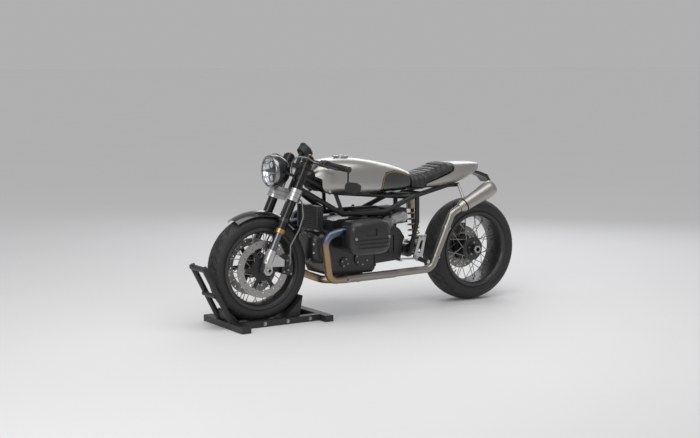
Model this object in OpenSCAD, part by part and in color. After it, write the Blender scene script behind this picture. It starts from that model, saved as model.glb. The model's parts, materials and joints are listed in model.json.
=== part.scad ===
// Cafe racer motorcycle with an air cooled flat twin, held by a front wheel chock
// X points forward, Y to the rider's left and Z up; lengths in millimetres
// Pieces are drawn from the rear axle and moved over the origin by set_down

/* [Wheels] */
// Distance between the two axles
wheelbase = 1485; // [1450:5:1520]
// Outer radius of the front tyre
front_tyre_r = 300; // [292:1:306]
// Width of the front tyre
front_tyre_w = 120; // [114:1:126]
// Outer radius of the rear tyre
rear_tyre_r = 315; // [306:1:322]
// Width of the rear tyre
rear_tyre_w = 180; // [164:1:188]
// Radius of the rims where the tyres seat
rim_r = 220; // [216:1:224]
// Width of the front rim between its flanges
front_rim_w = 102; // [96:1:106]
// Width of the rear rim between its flanges
rear_rim_w = 154; // [144:1:158]
// Number of spokes on each side of a wheel
spokes_a_side = 18; // [12:2:20]
// Radius of one spoke
spoke_r = 2.2; // [1.8:0.1:3]
// Radius of the front brake discs
front_disc_r = 160; // [150:1:164]
// Radius of the rear brake disc
rear_disc_r = 132; // [124:1:140]
// Thickness of the brake discs
disc_t = 5; // [4:0.5:6]

/* [Steering] */
// Angle of the steering axis from the vertical
rake = 25.5; // [24:0.5:27]
// Half the distance between the fork legs
fork_half = 105; // [102:1:110]
// How far the fork legs stand ahead of the axle
fork_lead = 12; // [9:1:16]
// How far the fork legs stand ahead of the steering axis
clamp_offset = 42; // [38:1:46]
// Radius of the outer fork tubes
fork_outer_r = 27; // [25:0.5:28]
// Radius of the inner fork tubes
fork_inner_r = 21.5; // [20:0.5:22.5]
// Radius of the headlight's rim
headlight_r = 91; // [82:1:94]
// Length of one handlebar half
bar_len = 265; // [250:5:290]
// Angle that the handlebars sweep back
bar_sweep = 22; // [15:1:28]
// Angle that the handlebars drop
bar_drop = 8; // [4:1:12]

/* [Body] */
// Length of the fuel tank
tank_len = 640; // [620:5:660]
// Greatest half width of the fuel tank
tank_half = 165; // [156:1:172]
// Height of the fuel tank
tank_h = 214; // [206:2:226]
// Height of the tank's underside above the engine
rail_rise = 124; // [118:1:134]
// Length of the seat
seat_len = 338; // [320:2:350]
// Half width of the seat
seat_half = 122; // [114:1:128]
// Length of the tail cowl
cowl_len = 460; // [440:5:480]

/* [Engine] */
// Half width of the engine over its valve covers
engine_half = 385; // [375:1:395]
// Height of the cylinders' axis above the floor
cylinder_z = 488; // [482:1:494]
// Distance of the cylinders' axis behind the front axle
cylinder_back = 540; // [532:1:546]
// How far the left cylinder stands ahead of the right one
cylinder_stagger = 34; // [24:1:40]
// Number of cooling fins on one cylinder
fin_count = 7; // [5:1:9]

/* [Exhaust] */
// Radius of the exhaust pipes
pipe_r = 22; // [19:0.5:24]
// Radius of the muffler at its outlet
muffler_r = 49; // [44:1:54]
// Length of the muffler
muffler_len = 272; // [250:2:290]

/* [Chock] */
// Length of the chock's rails
chock_len = 592; // [560:4:640]
// Half length of the chock's front foot
chock_half = 230; // [200:5:250]
// Height of the chock's hoop
hoop_h = 340; // [320:5:360]

/* [Clearances] */
// Gap between two pieces that are fixed to each other
seat_gap = 0.3; // [0.25:0.05:0.5]
// Gap round a turning pin or axle
pin_gap = 0.3; // [0.2:0.05:0.4]
// Gap between a brake disc and its caliper
disc_gap = 5; // [5:0.5:6]

/* [Hidden] */
$fn = 48;

// How far a cut reaches past what it cuts
overrun = 2;
// Gap between two fixed pieces that meet at a slant
loose_gap = 1.4 * seat_gap;

// Chock sizes that set the height of the front axle and the whole length
cradle_floor_t = 14.7;
chock_rail_w = 40;
chock_rail_h = 36;
chock_ahead = 205;
hoop_lean = 155;
hoop_r = 16;
chock_front = wheelbase + chock_ahead;
chock_back = chock_front - chock_len;
hoop_top_x = chock_front + hoop_lean;

// Crankcase sizes that place the frame and the gearbox
case_ahead = 155;
case_len = 320;
case_above = 84;
case_h = 322;
gearbox_len = 245;
gearbox_lap_share = 0.03;
pivot_back = 32.6;
pivot_z = 350;
cylinder_x = wheelbase - cylinder_back;
case_front = cylinder_x + case_ahead;
case_back = case_front - case_len;
case_top = cylinder_z + case_above;
case_low = case_top - case_h;
gearbox_back = case_back + case_len * gearbox_lap_share - gearbox_len;
pivot_x = gearbox_back - pivot_back;
pivot_run = cylinder_x - pivot_x;
rail_z = case_top + rail_rise;

front_axle_z = front_tyre_r + cradle_floor_t + seat_gap;
rear_axle_z = rear_tyre_r;
mid_x = (hoop_top_x + hoop_r - rear_tyre_r) / 2;

// Vectors and tables
function unit(v) = v / norm(v);
function other(p) = [p[0], -p[1], p[2]];
function on_side(pts, s) = s > 0 ? pts : [for (p = pts) other(p)];
function slope(tab, c, i) = let (a = max(i - 1, 0), b = min(i + 1, len(tab) - 1))
    (tab[b][c] - tab[a][c]) / (tab[b][0] - tab[a][0]);
function seg(tab, t) = max([for (i = [0:len(tab) - 2]) t >= tab[i][0] ? i : 0]);
function smooth(tab, c, t) = let (i = seg(tab, t), h = tab[i + 1][0] - tab[i][0], s = (t - tab[i][0]) / h,
    a = tab[i][c], b = tab[i + 1][c], ma = slope(tab, c, i) * h, mb = slope(tab, c, i + 1) * h)
    (2 * s ^ 3 - 3 * s ^ 2 + 1) * a + (s ^ 3 - 2 * s ^ 2 + s) * ma
    + (3 * s ^ 2 - 2 * s ^ 3) * b + (s ^ 3 - s ^ 2) * mb;
function power(v, e) = sign(v) * abs(v) ^ e;

// One upright ring of points at x, with its own corner sharpness
function ring(x, half, low, mid, top, e, n) = [for (k = [0:n - 1]) let (a = 360 * k / n, c = cos(a),
    s = sin(a))
    [x, half * power(c, e), mid + (s > 0 ? top - mid : mid - low) * power(s, e)]];

// Points along a bent line with round corners
function corner(p, q, w, bend, steps) = let (d1 = unit(q - p), d2 = unit(w - q), turn = acos(d1 * d2),
    ax = -unit(d2 - d1 * (d1 * d2)), c = q - d1 * bend * tan(turn / 2) - ax * bend)
    [for (j = [0:steps]) c + (ax * cos(turn * j / steps) + d1 * sin(turn * j / steps)) * bend];
function round_path(pts, bend, steps) = concat([pts[0]],
    [for (i = [1:len(pts) - 2]) each corner(pts[i - 1], pts[i], pts[i + 1], bend, steps)], [pts[len(pts)
        - 1]]);
function sweep_ring(path, i, r, n, side) = let (last = len(path) - 1,
    t = unit(path[min(i + 1, last)] - path[max(i - 1, 0)]), a = unit(side - t * (t * side)), b = cross(t, a))
    [for (k = [0:n - 1]) path[i] + (a * cos(360 * k / n) + b * sin(360 * k / n)) * r];

// A rectangle with round corners
function round_rect(w, h, r) = [for (q = [0:3], k = [0:4]) let (a = 90 * q + 22.5 * k)
    [(q == 0 || q == 3 ? 1 : -1) * (w / 2 - r) + r * cos(a), (q < 2 ? 1 : -1) * (h / 2 - r) + r * sin(a)]];

// An outline of shares drawn from a corner with a length and a height
function outline(x, z, l, h, shares) = [for (p = shares) [x + l * p[0], z + h * p[1]]];

// A closed body through rings of points; the ends of a thin shell are closed from its outer to its inner line
module skin(rings, thin = false) {
    n = len(rings[0]);
    last = len(rings) - 1;
    cap = thin ? [for (k = [0:n / 2 - 2]) [k, k + 1, n - 2 - k, n - 1 - k]] : [[for (k = [0:n - 1]) k]];
    polyhedron(points = [for (r = rings) each r], convexity = 6, faces = concat(
        cap, [for (f = cap) [for (k = [len(f) - 1:-1:0]) last * n + f[k]]],
        [for (i = [0:last - 1], k = [0:n - 1]) [i * n + k, (i + 1) * n + k, (i + 1) * n + (k + 1) % n]],
        [for (i = [0:last - 1], k = [0:n - 1]) [i * n + k, (i + 1) * n + (k + 1) % n, i * n + (k + 1) % n]]));
}

// A round pipe along a bent line
module sweep(pts, bend, r, n, steps, side) {
    path = round_path(pts, bend, steps);
    skin([for (i = [0:len(path) - 1]) sweep_ring(path, i, r, n, side)]);
}

// A straight round bar between two points
module rod(a, b, r) {
    d = b - a;
    translate(a) rotate([0, acos(d[2] / norm(d)), atan2(d[1], d[0])]) cylinder(h = norm(d), r = r);
}

// Straight bars from point to point, each long enough to fill its corners
module bars(pts, r) {
    last = len(pts) - 2;
    for (i = [0:last]) {
        d = unit(pts[i + 1] - pts[i]);
        back = i == 0 ? 0 : r * tan(acos(d * unit(pts[i] - pts[i - 1])) / 2);
        ahead = i == last ? 0 : r * tan(acos(d * unit(pts[i + 2] - pts[i + 1])) / 2);
        rod(pts[i] - d * back, pts[i + 1] + d * ahead, i % 2 == 0 ? r : r * 0.97);
    }
}

// A bar across the machine, from y1 to y2
module cross_bar(x, z, y1, y2, r) {
    rod([x, y1, z], [x, y2, z], r);
}

// A side outline drawn in X and Z, given width along Y
module slab(pts, y1, y2) {
    translate([0, y2, 0]) rotate([90, 0, 0]) linear_extrude(height = y2 - y1) polygon(pts);
}

// A slab on side s that reaches from y1 out to y2
module side_slab(pts, s, y1, y2) {
    slab(pts, s > 0 ? y1 : -y2, s > 0 ? y2 : -y1);
}

// A box by its two corners
module block(a, b) {
    translate(a) cube(b - a);
}

// A turned piece whose axis lies across the machine
module turned(x, z) {
    translate([x, 0, z]) rotate([-90, 0, 0]) rotate_extrude() children();
}

// The frame of the fork, with its origin on the front axle
module on_fork() {
    translate([wheelbase, 0, front_axle_z]) rotate([0, -rake, 0]) children();
}

function fork_point(p) = [wheelbase + p[0] * cos(rake) - p[2] * sin(rake), p[1],
    front_axle_z + p[0] * sin(rake) + p[2] * cos(rake)];

// The whole part with its middle over the origin
module set_down() {
    translate([-mid_x, 0, 0]) children();
}

// Wheels

rim_flange_h = 9;
rim_flange_t = 5;
rim_well = 18;
rim_t = 7;
hub_flange_t = 8;
hub_cone = 8;
front_axle_r = 12.5;
front_hub_half = 60;
front_hub_core_r = 30;
front_hub_flange_r = 58;
front_hub_flange_y = 40;
rear_stub_r = 29.7;
rear_hub_left = 62;
rear_hub_right = 58;
rear_hub_core_r = 46;
rear_hub_flange_r = 72;
rear_hub_flange_y = 44;

module tyre_outline(r, w, rim_w) {
    bead = rim_r + seat_gap;
    wall_low = bead + 1.2 * rim_flange_h;
    fat = bead + (r - bead) * 0.42;
    foot = rim_w / 2 - rim_flange_t * 0.2;
    steps = 14;
    side = [for (k = [1:3]) [wall_low + (fat - wall_low) * k / 4, foot + (w / 2 - foot) * sin(90 * k / 4)]];
    polygon(concat([[bead, -foot], [wall_low, -foot]], [for (p = side) [p[0], -p[1]]],
        [for (k = [0:steps]) let (a = -90 + 180 * k / steps)
            [fat + (r - fat) * power(cos(a), 0.92), w / 2 * sin(a)]],
        [for (k = [2:-1:0]) side[k]], [[wall_low, foot], [bead, foot]]));
}

module rim_outline(rim_w) {
    half = rim_w / 2;
    top = rim_r + rim_flange_h;
    lip = half + rim_flange_t;
    well = rim_r - rim_well;
    side = [[well, half * 0.5], [rim_r, half * 0.74], [rim_r, half], [top, half], [top, lip],
        [rim_r - rim_t, lip], [well, half * 0.86], [well - rim_t, half * 0.3]];
    polygon(concat(side, [for (k = [len(side) - 1:-1:0]) [side[k][0], -side[k][1]]]));
}

module hub_outline(bore, core, flange_r, flange_y, left, right) {
    side = [[core, flange_y - hub_cone], [flange_r, flange_y - hub_flange_t / 2],
        [flange_r, flange_y + hub_flange_t / 2], [core, flange_y + hub_cone]];
    polygon(concat([[bore, -right], [core, -right]], [for (k = [3:-1:0]) [side[k][0], -side[k][1]]], side,
        [[core, left], [bore, left]]));
}

module spokes(hub_r, hub_y, rim_w) {
    pitch = 360 / spokes_a_side;
    reach = rim_r - rim_well - rim_t / 2;
    for (s = [-1, 1], i = [0:spokes_a_side - 1]) {
        lead = i % 2 == 0 ? 1 : -1;
        a = i * pitch + (s > 0 ? 0 : pitch / 2);
        b = a + 2 * lead * pitch;
        rod([hub_r * cos(a), s * (hub_y + lead * 2.4 * spoke_r), hub_r * sin(a)],
            [reach * cos(b), s * rim_w * 0.1, reach * sin(b)], spoke_r);
    }
}

module front_tyre() {
    color("#16171a") turned(wheelbase, front_axle_z) tyre_outline(front_tyre_r, front_tyre_w, front_rim_w);
}

module front_wire_wheel() {
    color("#1b1c1f") {
        turned(wheelbase, front_axle_z) rim_outline(front_rim_w);
        turned(wheelbase, front_axle_z) hub_outline(front_axle_r + pin_gap, front_hub_core_r,
            front_hub_flange_r,
            front_hub_flange_y, front_hub_half, front_hub_half);
        translate([wheelbase, 0, front_axle_z])
            spokes(front_hub_flange_r - hub_flange_t * 0.6, front_hub_flange_y, front_rim_w);
    }
}

module rear_tyre() {
    color("#16171a") turned(0, rear_axle_z) tyre_outline(rear_tyre_r, rear_tyre_w, rear_rim_w);
}

module rear_wire_wheel() {
    color("#1b1c1f") {
        turned(0, rear_axle_z) rim_outline(rear_rim_w);
        turned(0, rear_axle_z) hub_outline(rear_stub_r + pin_gap, rear_hub_core_r, rear_hub_flange_r,
            rear_hub_flange_y, rear_hub_left, rear_hub_right);
        translate([0, 0, rear_axle_z])
            spokes(rear_hub_flange_r - hub_flange_t * 0.75, rear_hub_flange_y, rear_rim_w);
    }
}

// Brake discs and calipers

disc_band = 40;
disc_hole_r = 4.2;
disc_holes = 24;
carrier_arms = 6;
carrier_r = 66;
carrier_arm_w = 24;
carrier_lap = 4;
carrier_bore_r = 24;
front_disc_y = 66;
rear_disc_y = -66;

// Turns a disc's own flat shapes to stand across the machine
module on_axle(x, y, z) {
    translate([x, y, z]) rotate([90, 0, 0]) children();
}

module disc_drilling(r) {
    inner = r - disc_band;
    for (k = [0:disc_holes - 1]) rotate([0, 0, 360 * k / disc_holes])
        translate([inner + disc_band * (k % 2 == 0 ? 0.3 : 0.7), 0, 0])
            cylinder(h = 2 * disc_t, r = disc_hole_r, center = true);
}

module front_discs() {
    inner = front_disc_r - disc_band;
    arm = inner + carrier_lap;
    hat = front_disc_y - front_hub_half;
    for (s = [-1, 1]) color("#8d9093") on_axle(wheelbase, s * front_disc_y, front_axle_z) difference() {
        union() {
            difference() {
                cylinder(h = disc_t, r = front_disc_r, center = true);
                cylinder(h = disc_t + overrun, r = inner, center = true);
            }
            cylinder(h = disc_t, r = carrier_r, center = true);
            for (k = [0:carrier_arms - 1]) rotate([0, 0, 360 * k / carrier_arms]) translate([arm / 2, 0, 0])
                cube([arm, carrier_arm_w, disc_t * 0.8], center = true);
            translate([0, 0, s * hat / 2]) cylinder(h = hat, r = front_hub_core_r, center = true);
        }
        cylinder(h = 2 * (disc_t + hat), r = carrier_bore_r, center = true);
        disc_drilling(front_disc_r);
    }
}

module rear_disc() {
    hat = -rear_hub_right - rear_disc_y;
    color("#85888b") on_axle(0, rear_disc_y, rear_axle_z) difference() {
        union() {
            cylinder(h = disc_t, r = rear_disc_r, center = true);
            translate([0, 0, -hat / 2]) cylinder(h = hat, r = rear_hub_core_r, center = true);
        }
        cylinder(h = 2 * (disc_t + hat), r = rear_stub_r + pin_gap, center = true);
        disc_drilling(rear_disc_r);
    }
}

// An arc shaped plate between two radii and two angles
module sector(r1, r2, a1, a2) {
    steps = 8;
    polygon(concat([for (k = [0:steps]) let (a = a1 + (a2 - a1) * k / steps) [r2 * cos(a), r2 * sin(a)]],
        [for (k = [steps:-1:0]) let (a = a1 + (a2 - a1) * k / steps) [r1 * cos(a), r1 * sin(a)]]));
}

caliper_in = 22;
caliper_out = 24;
caliper_rise = 18;
caliper_band = 68;
caliper_angle = 152;
caliper_span_angle = 44;
piston_r = 15;
piston_h = 6;

module front_calipers() {
    slot = disc_t / 2 + disc_gap;
    outer = front_disc_r + caliper_rise;
    for (s = [-1, 1]) color("#2a2b2e") on_axle(wheelbase, s * front_disc_y, front_axle_z)
        mirror([0, 0, s > 0 ? 1 : 0]) difference() {
            union() {
                translate([0, 0, -caliper_in]) linear_extrude(height = caliper_in + caliper_out)
                    sector(outer - caliper_band, outer, caliper_angle, caliper_angle + caliper_span_angle);
                for (k = [0.25, 0.75]) rotate([0, 0, caliper_angle + caliper_span_angle * k])
                    translate([front_disc_r * 0.9, 0, 0]) cylinder(h = caliper_out + piston_h, r = piston_r);
            }
            translate([0, 0, -slot]) cylinder(h = 2 * slot, r = front_disc_r + disc_gap);
        }
}

drive_r = 92;
drive_in = -76;
drive_out = -168;
drive_lip = 14;
stub_out = 92;
rear_bore_r = 14;
rear_caliper_wall = 6;
rear_caliper_body = 20;
rear_caliper_front_angle = 62;
rear_caliper_rear_angle = 100;

module rear_caliper() {
    slot = disc_t / 2 + disc_gap;
    color("#2a2b2e") on_axle(0, rear_disc_y, rear_axle_z) difference() {
        translate([0, 0, -slot - rear_caliper_wall])
            linear_extrude(height = 2 * slot + rear_caliper_wall + rear_caliper_body)
                sector(drive_r + loose_gap, rear_disc_r + caliper_rise, rear_caliper_front_angle,
                    rear_caliper_rear_angle);
        translate([0, 0, -slot]) cylinder(h = 2 * slot, r = rear_disc_r + disc_gap);
    }
}

// Front fork

foot_top = 112;
collar_low = 216;
collar_h = 24;
collar_rim = 2;
socket = 44;
lower_clamp_low = 408;
lower_clamp_h = 70;
head_len = 124;
upper_clamp_h = 30;
bar_ring_h = 28;
collar_high = collar_low + collar_h;
lower_clamp_high = lower_clamp_low + lower_clamp_h;
upper_clamp_low = lower_clamp_high + head_len;
upper_clamp_high = upper_clamp_low + upper_clamp_h;
bar_root = upper_clamp_high + bar_ring_h * 0.8;
fork_top = bar_root + bar_ring_h * 0.8;
steer_u = fork_lead - clamp_offset;
stem_r = 14.7;
head_tube_r = 30;

// A bar of one fork leg, between two heights along it
module leg(s, low, high, r) {
    on_fork() translate([fork_lead, s * fork_half, low]) cylinder(h = high - low, r = r);
}

module fork_outer_tubes() {
    for (s = [-1, 1]) color("#17181b") difference() {
        leg(s, collar_high + seat_gap, fork_top, fork_outer_r);
        leg(s, collar_high, collar_high + socket, fork_inner_r + pin_gap);
    }
}

module fork_collars() {
    for (s = [-1, 1]) color("#b08a3e") difference() {
        leg(s, collar_low, collar_high, fork_outer_r + collar_rim);
        leg(s, collar_low - overrun, collar_high + overrun, fork_inner_r + pin_gap);
    }
}

module fork_inner_tubes() {
    for (s = [-1, 1]) color("#3a3b3e") leg(s, foot_top - socket + seat_gap,
        collar_high + socket - seat_gap, fork_inner_r);
}

foot_wall = 6.5;
foot_boss_r = 27;
foot_half = 25;
foot_neck = 50;
lug_in = front_disc_y + caliper_out + loose_gap;
lug_out = fork_half + foot_half * 0.5;
// Columns: back from the leg and up it, as shares of the lug's reach and of the foot's height
foot_lug_shares = [[0, 0.18], [0, 0.93], [-0.8, 0.82], [-0.95, 0.52]];
foot_lug_reach = 94;

module fork_feet() {
    bar = fork_inner_r + foot_wall;
    for (s = [-1, 1]) color("#b9bbbe") difference() {
        union() {
            leg(s, foot_top * 0.27, foot_top, bar);
            on_fork() translate([0, s * fork_half, 0]) rotate([90, 0, 0])
                cylinder(h = 2 * foot_half, r = foot_boss_r, center = true);
            on_fork() side_slab([[-foot_boss_r * 0.9, 0], [foot_boss_r * 0.95, 0], [fork_lead + bar * 0.8,
                foot_neck],
                [fork_lead - bar * 0.8, foot_neck]], s, fork_half - foot_half * 0.86,
                    fork_half + foot_half * 0.86);
            on_fork() side_slab(outline(fork_lead - bar * 0.5, 0, foot_lug_reach, foot_top,
                foot_lug_shares), s,
                lug_in, lug_out);
        }
        leg(s, foot_top - socket, foot_top + overrun, fork_inner_r + pin_gap);
        on_fork() translate([0, s * fork_half, 0]) rotate([90, 0, 0])
            cylinder(h = 2 * (foot_half + overrun), r = front_axle_r + seat_gap, center = true);
    }
}

axle_bore_r = 8.5;
axle_end_r = 19;
axle_end_t = 6;

module front_axle() {
    half = fork_half + foot_half + seat_gap;
    color("#a4a7aa") on_axle(wheelbase, 0, front_axle_z) difference() {
        union() {
            cylinder(h = 2 * half, r = front_axle_r, center = true);
            for (s = [-1, 1]) translate([0, 0, s * (half + axle_end_t / 2)])
                cylinder(h = axle_end_t, r = axle_end_r, center = true);
        }
        cylinder(h = 2 * (half + axle_end_t + overrun), r = axle_bore_r, center = true);
    }
}

clamp_ring_r = 38;
clamp_web = 56;
stem_nut_r = 20;
stem_nut_h = 12;
stem_end = 2;

module clamp_plate(low, high, r) {
    difference() {
        union() {
            for (s = [-1, 1]) leg(s, low, high, r);
            on_fork() translate([steer_u, 0, low]) cylinder(h = high - low, r = r * 0.9);
            on_fork() for (s = [-1, 1]) translate([0, 0, low]) linear_extrude(height = high - low)
                polygon([[steer_u - clamp_web * 0.4, 0], [steer_u + clamp_web * 0.6, 0],
                    [fork_lead + r * 0.4, s * fork_half * 0.8], [fork_lead - r * 0.55, s * fork_half * 0.9]]);
        }
        for (s = [-1, 1]) leg(s, low - overrun, high + overrun, fork_outer_r + seat_gap);
        children();
    }
}

module lower_clamp() {
    color("#b4b6b9") {
        clamp_plate(lower_clamp_low, lower_clamp_high, clamp_ring_r);
        on_fork() translate([steer_u, 0, lower_clamp_low])
            cylinder(h = upper_clamp_high + stem_end - lower_clamp_low, r = stem_r);
    }
}

module upper_clamp() {
    color("#26272a") {
        clamp_plate(upper_clamp_low, upper_clamp_high, clamp_ring_r * 0.94)
            on_fork() translate([steer_u, 0, upper_clamp_low - overrun])
                cylinder(h = upper_clamp_h + 2 * overrun, r = stem_r + seat_gap);
        on_fork() translate([steer_u, 0, upper_clamp_high + stem_end + seat_gap])
            cylinder(h = stem_nut_h, r = stem_nut_r, $fn = 6);
    }
}

// Lamp, gauge and bars

headlight_u = 130;
headlight_w = 531;
shell_len = 92;
shell_lip = 12;
shell_r = headlight_r * 0.98;
lens_len = 22;
lens_dome = 14;
lens_rim = 13;
ear_y = 94;
ear_r = 8;
ear_ring_low = 528;
ear_ring_h = 26;
ear_ring_t = 6;
headlight_at = fork_point([headlight_u, 0, headlight_w]);

module headlight_shell() {
    steps = 8;
    color("#141518") {
        translate(headlight_at) rotate([0, 90, 0]) difference() {
            rotate_extrude() polygon(concat([[0, -shell_len]],
                [for (k = [1:steps]) [shell_r * sin(90 * k / steps), -shell_len * cos(90 * k / steps) ^ 0.9]],
                [[shell_r, shell_lip], [0, shell_lip]]));
            translate([0, 0, -shell_len * 0.3]) cylinder(h = shell_len, r = shell_r * 0.86);
        }
        for (s = [-1, 1]) {
            pivot = headlight_at + [-shell_len * 0.22, s * ear_y, 0];
            rod([pivot[0], s * shell_r * 0.94, pivot[2]], pivot, ear_r);
            rod(pivot, fork_point([fork_lead + fork_outer_r * 1.05, s * ear_y,
                ear_ring_low + ear_ring_h / 2]), ear_r * 0.9);
            difference() {
                leg(s, ear_ring_low, ear_ring_low + ear_ring_h, fork_outer_r + ear_ring_t);
                leg(s, ear_ring_low - overrun, ear_ring_low + ear_ring_h + overrun, fork_outer_r + seat_gap);
            }
        }
    }
}

module headlight_lens() {
    color("#dfe3e6") translate(headlight_at + [shell_lip + seat_gap, 0, 0]) rotate([0, 90, 0])
        rotate_extrude() polygon([[0, 0], [headlight_r, 0], [headlight_r, lens_len * 0.6],
            [headlight_r - lens_rim * 0.4, lens_len], [headlight_r - lens_rim * 0.85, lens_len],
            [headlight_r - lens_rim, lens_len * 0.7], [headlight_r * 0.55, lens_len * 0.7 + lens_dome * 0.6],
            [0, lens_len * 0.7 + lens_dome]]);
}

gauge_u = 8;
gauge_rise = 58;
gauge_r = 44;
gauge_h = 34;
gauge_rim = 3;
gauge_lip = 8;
gauge_tilt = 32;
gauge_post_r = 12;

module gauge() {
    seat = [steer_u + clamp_offset * 0.9, 0, upper_clamp_high + seat_gap];
    base = [gauge_u, 0, upper_clamp_high + gauge_rise];
    color("#1c1d20") on_fork() {
        translate(base) rotate([0, -gauge_tilt, 0]) {
            cylinder(h = gauge_h, r1 = gauge_r * 0.8, r2 = gauge_r);
            translate([0, 0, gauge_h]) cylinder(h = gauge_lip, r = gauge_r + gauge_rim);
        }
        rod(seat, base + [0, 0, gauge_h * 0.3], gauge_post_r);
    }
}

bar_r = 11.1;
bar_ring_t = 8;
grip_r = 16.5;
grip_len = 122;
grip_flange = 5;

// Turns the bar's own line from the clamp outwards to the side s
module on_bar(s) {
    translate(fork_point([fork_lead, s * fork_half, bar_root])) rotate([0, 0, s * (90 + bar_sweep)])
        rotate([0, 90 + bar_drop, 0]) children();
}

module handlebars() {
    for (s = [-1, 1]) color("#1a1b1e") difference() {
        union() {
            leg(s, bar_root - bar_ring_h / 2, bar_root + bar_ring_h / 2, fork_outer_r + bar_ring_t);
            on_bar(s) translate([0, 0, fork_outer_r + bar_ring_t * 0.3])
                cylinder(h = bar_len - fork_outer_r, r = bar_r);
        }
        leg(s, bar_root - bar_ring_h, bar_root + bar_ring_h, fork_outer_r + seat_gap);
    }
}

module grips() {
    for (s = [-1, 1]) color("#101113") on_bar(s) translate([0, 0, bar_len - grip_len]) difference() {
        union() {
            cylinder(h = grip_len, r = grip_r);
            cylinder(h = grip_flange, r = grip_r + grip_flange);
        }
        translate([0, 0, -overrun]) cylinder(h = grip_len + 2 * overrun, r = bar_r + seat_gap);
    }
}

perch_at = 92;
perch_len = 42;
perch_t = 8;
perch_reach = 52;
reservoir_r = 10;
reservoir_h = 34;
reservoir_tilt = 58;
switch_size = [34, 20, 26];
lever_len = 150;
lever_r = 6;

module hand_controls() {
    for (s = [-1, 1]) color("#232427") on_bar(s) {
        difference() {
            union() {
                translate([0, 0, perch_at]) cylinder(h = perch_len, r = bar_r + perch_t);
                translate([0, -s * perch_t * 2, perch_at + perch_len * 0.2]) rotate([s * reservoir_tilt, 0,
                    0])
                    cylinder(h = reservoir_h, r = reservoir_r);
                translate([0, s * (bar_r + perch_t * 0.6), perch_at + perch_len / 2]) cube(switch_size,
                    center = true);
            }
            translate([0, 0, perch_at - overrun]) cylinder(h = perch_len + 2 * overrun + reservoir_h,
                r = bar_r + seat_gap);
        }
        bars([[0, -s * perch_reach * 0.77, perch_at + perch_len * 0.52], [0, -s * perch_reach,
            perch_at + perch_len * 0.95],
            [lever_r, -s * perch_reach * 0.85, perch_at + lever_len]], lever_r);
    }
}

mirror_drop = 96;
mirror_w = 118;
mirror_h = 62;
mirror_t = 20;
mirror_plug = 20;
mirror_arm_r = 5;
mirror_turn = 12;
// Share of the head's full outline at even steps through its thickness
mirror_shares = [0.72, 0.97, 1, 1, 0.94];

function bar_way(s) = [-sin(bar_sweep) * cos(bar_drop), s * cos(bar_sweep) * cos(bar_drop), -sin(bar_drop)];
function bar_spot(s, along) = fork_point([fork_lead, s * fork_half, bar_root]) + bar_way(s) * along;
function bar_end(s) = bar_spot(s, bar_len + mirror_plug * 0.6);

module bar_end_mirrors() {
    last = len(mirror_shares) - 1;
    for (s = [-1, 1]) color("#141518") {
        tip = bar_end(s);
        hang = tip + [mirror_arm_r, s * mirror_arm_r, -mirror_drop];
        on_bar(s) translate([0, 0, bar_len + bar_ring_t * 0.3 + seat_gap]) cylinder(h = mirror_plug,
            r = grip_r);
        rod(tip, hang, mirror_arm_r);
        translate(hang + [0, s * mirror_w * 0.42, 0]) rotate([0, -mirror_turn / 2, s * mirror_turn])
            skin([for (k = [0:last]) let (f = mirror_shares[k]) ring((k / last - 0.6) * mirror_t,
                mirror_w / 2 * f, -mirror_h / 2 * f, 0, mirror_h / 2 * f, 0.7, 20)]);
    }
}

// Front fender and brake hoses

fender_rise = 22;
fender_t = 4;
fender_half = 62;
fender_dip = 24;
fender_front_angle = 60;
fender_rear_angle = 142;
fender_stay_low = 283;
fender_stay_h = 20;
fender_stay_w = 28;
fender_ring_t = 5;

module front_fender() {
    steps = 15;
    across = 10;
    outer = front_tyre_r + fender_rise;
    color("#141518") {
        translate([wheelbase, 0, front_axle_z]) skin([for (i = [0:steps])
            let (a = fender_front_angle + (fender_rear_angle - fender_front_angle) * i / steps,
                arc = [for (k = [0:across])
                let (f = 2 * k / across - 1) [outer - fender_dip * abs(f) ^ 2.4, fender_half * f]])
            concat([for (k = [0:across]) [arc[k][0] * cos(a), arc[k][1], arc[k][0] * sin(a)]],
                [for (k = [across:-1:0]) let (r = arc[k][0] - fender_t) [r * cos(a), arc[k][1],
                    r * sin(a)]])], thin = true);
        for (s = [-1, 1]) difference() {
            union() {
                leg(s, fender_stay_low, fender_stay_low + fender_stay_h, fork_outer_r + fender_ring_t);
                on_fork() side_slab([for (p = [[-1, 0.2], [1, 0.2], [1, 0.8], [-1, 0.8]])
                    [fork_lead + p[0] * fender_stay_w / 2, fender_stay_low + p[1] * fender_stay_h]], s,
                    fender_half + loose_gap, fork_half - fork_outer_r);
            }
            leg(s, fender_stay_low - overrun, fender_stay_low + fender_stay_h + overrun,
                fork_outer_r + seat_gap);
        }
    }
}

hose_r = 4.5;
hose_bend = 26;
hose_seat = [-25.6, 60, 440];
hose_out = unit([-94, 46, 0]);
hose_run = 40;
// Places that the left hose passes, from the front axle, chosen by eye between the clamp and the caliper
hose_route = [[-229, 122, 285], [-195, 134, 215], [-137, 134, 125], [-139, 130, 15]];

line_r = 4;
line_run = 40;
line_seat = [5, 52];
// Places that the left control line passes from the bar to the lower clamp, in the fork's frame
line_route = [[60, 165, 655], [105, 140, 640], [100, 100, 600], [60, 72, 555]];
line_rise = 42;

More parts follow.
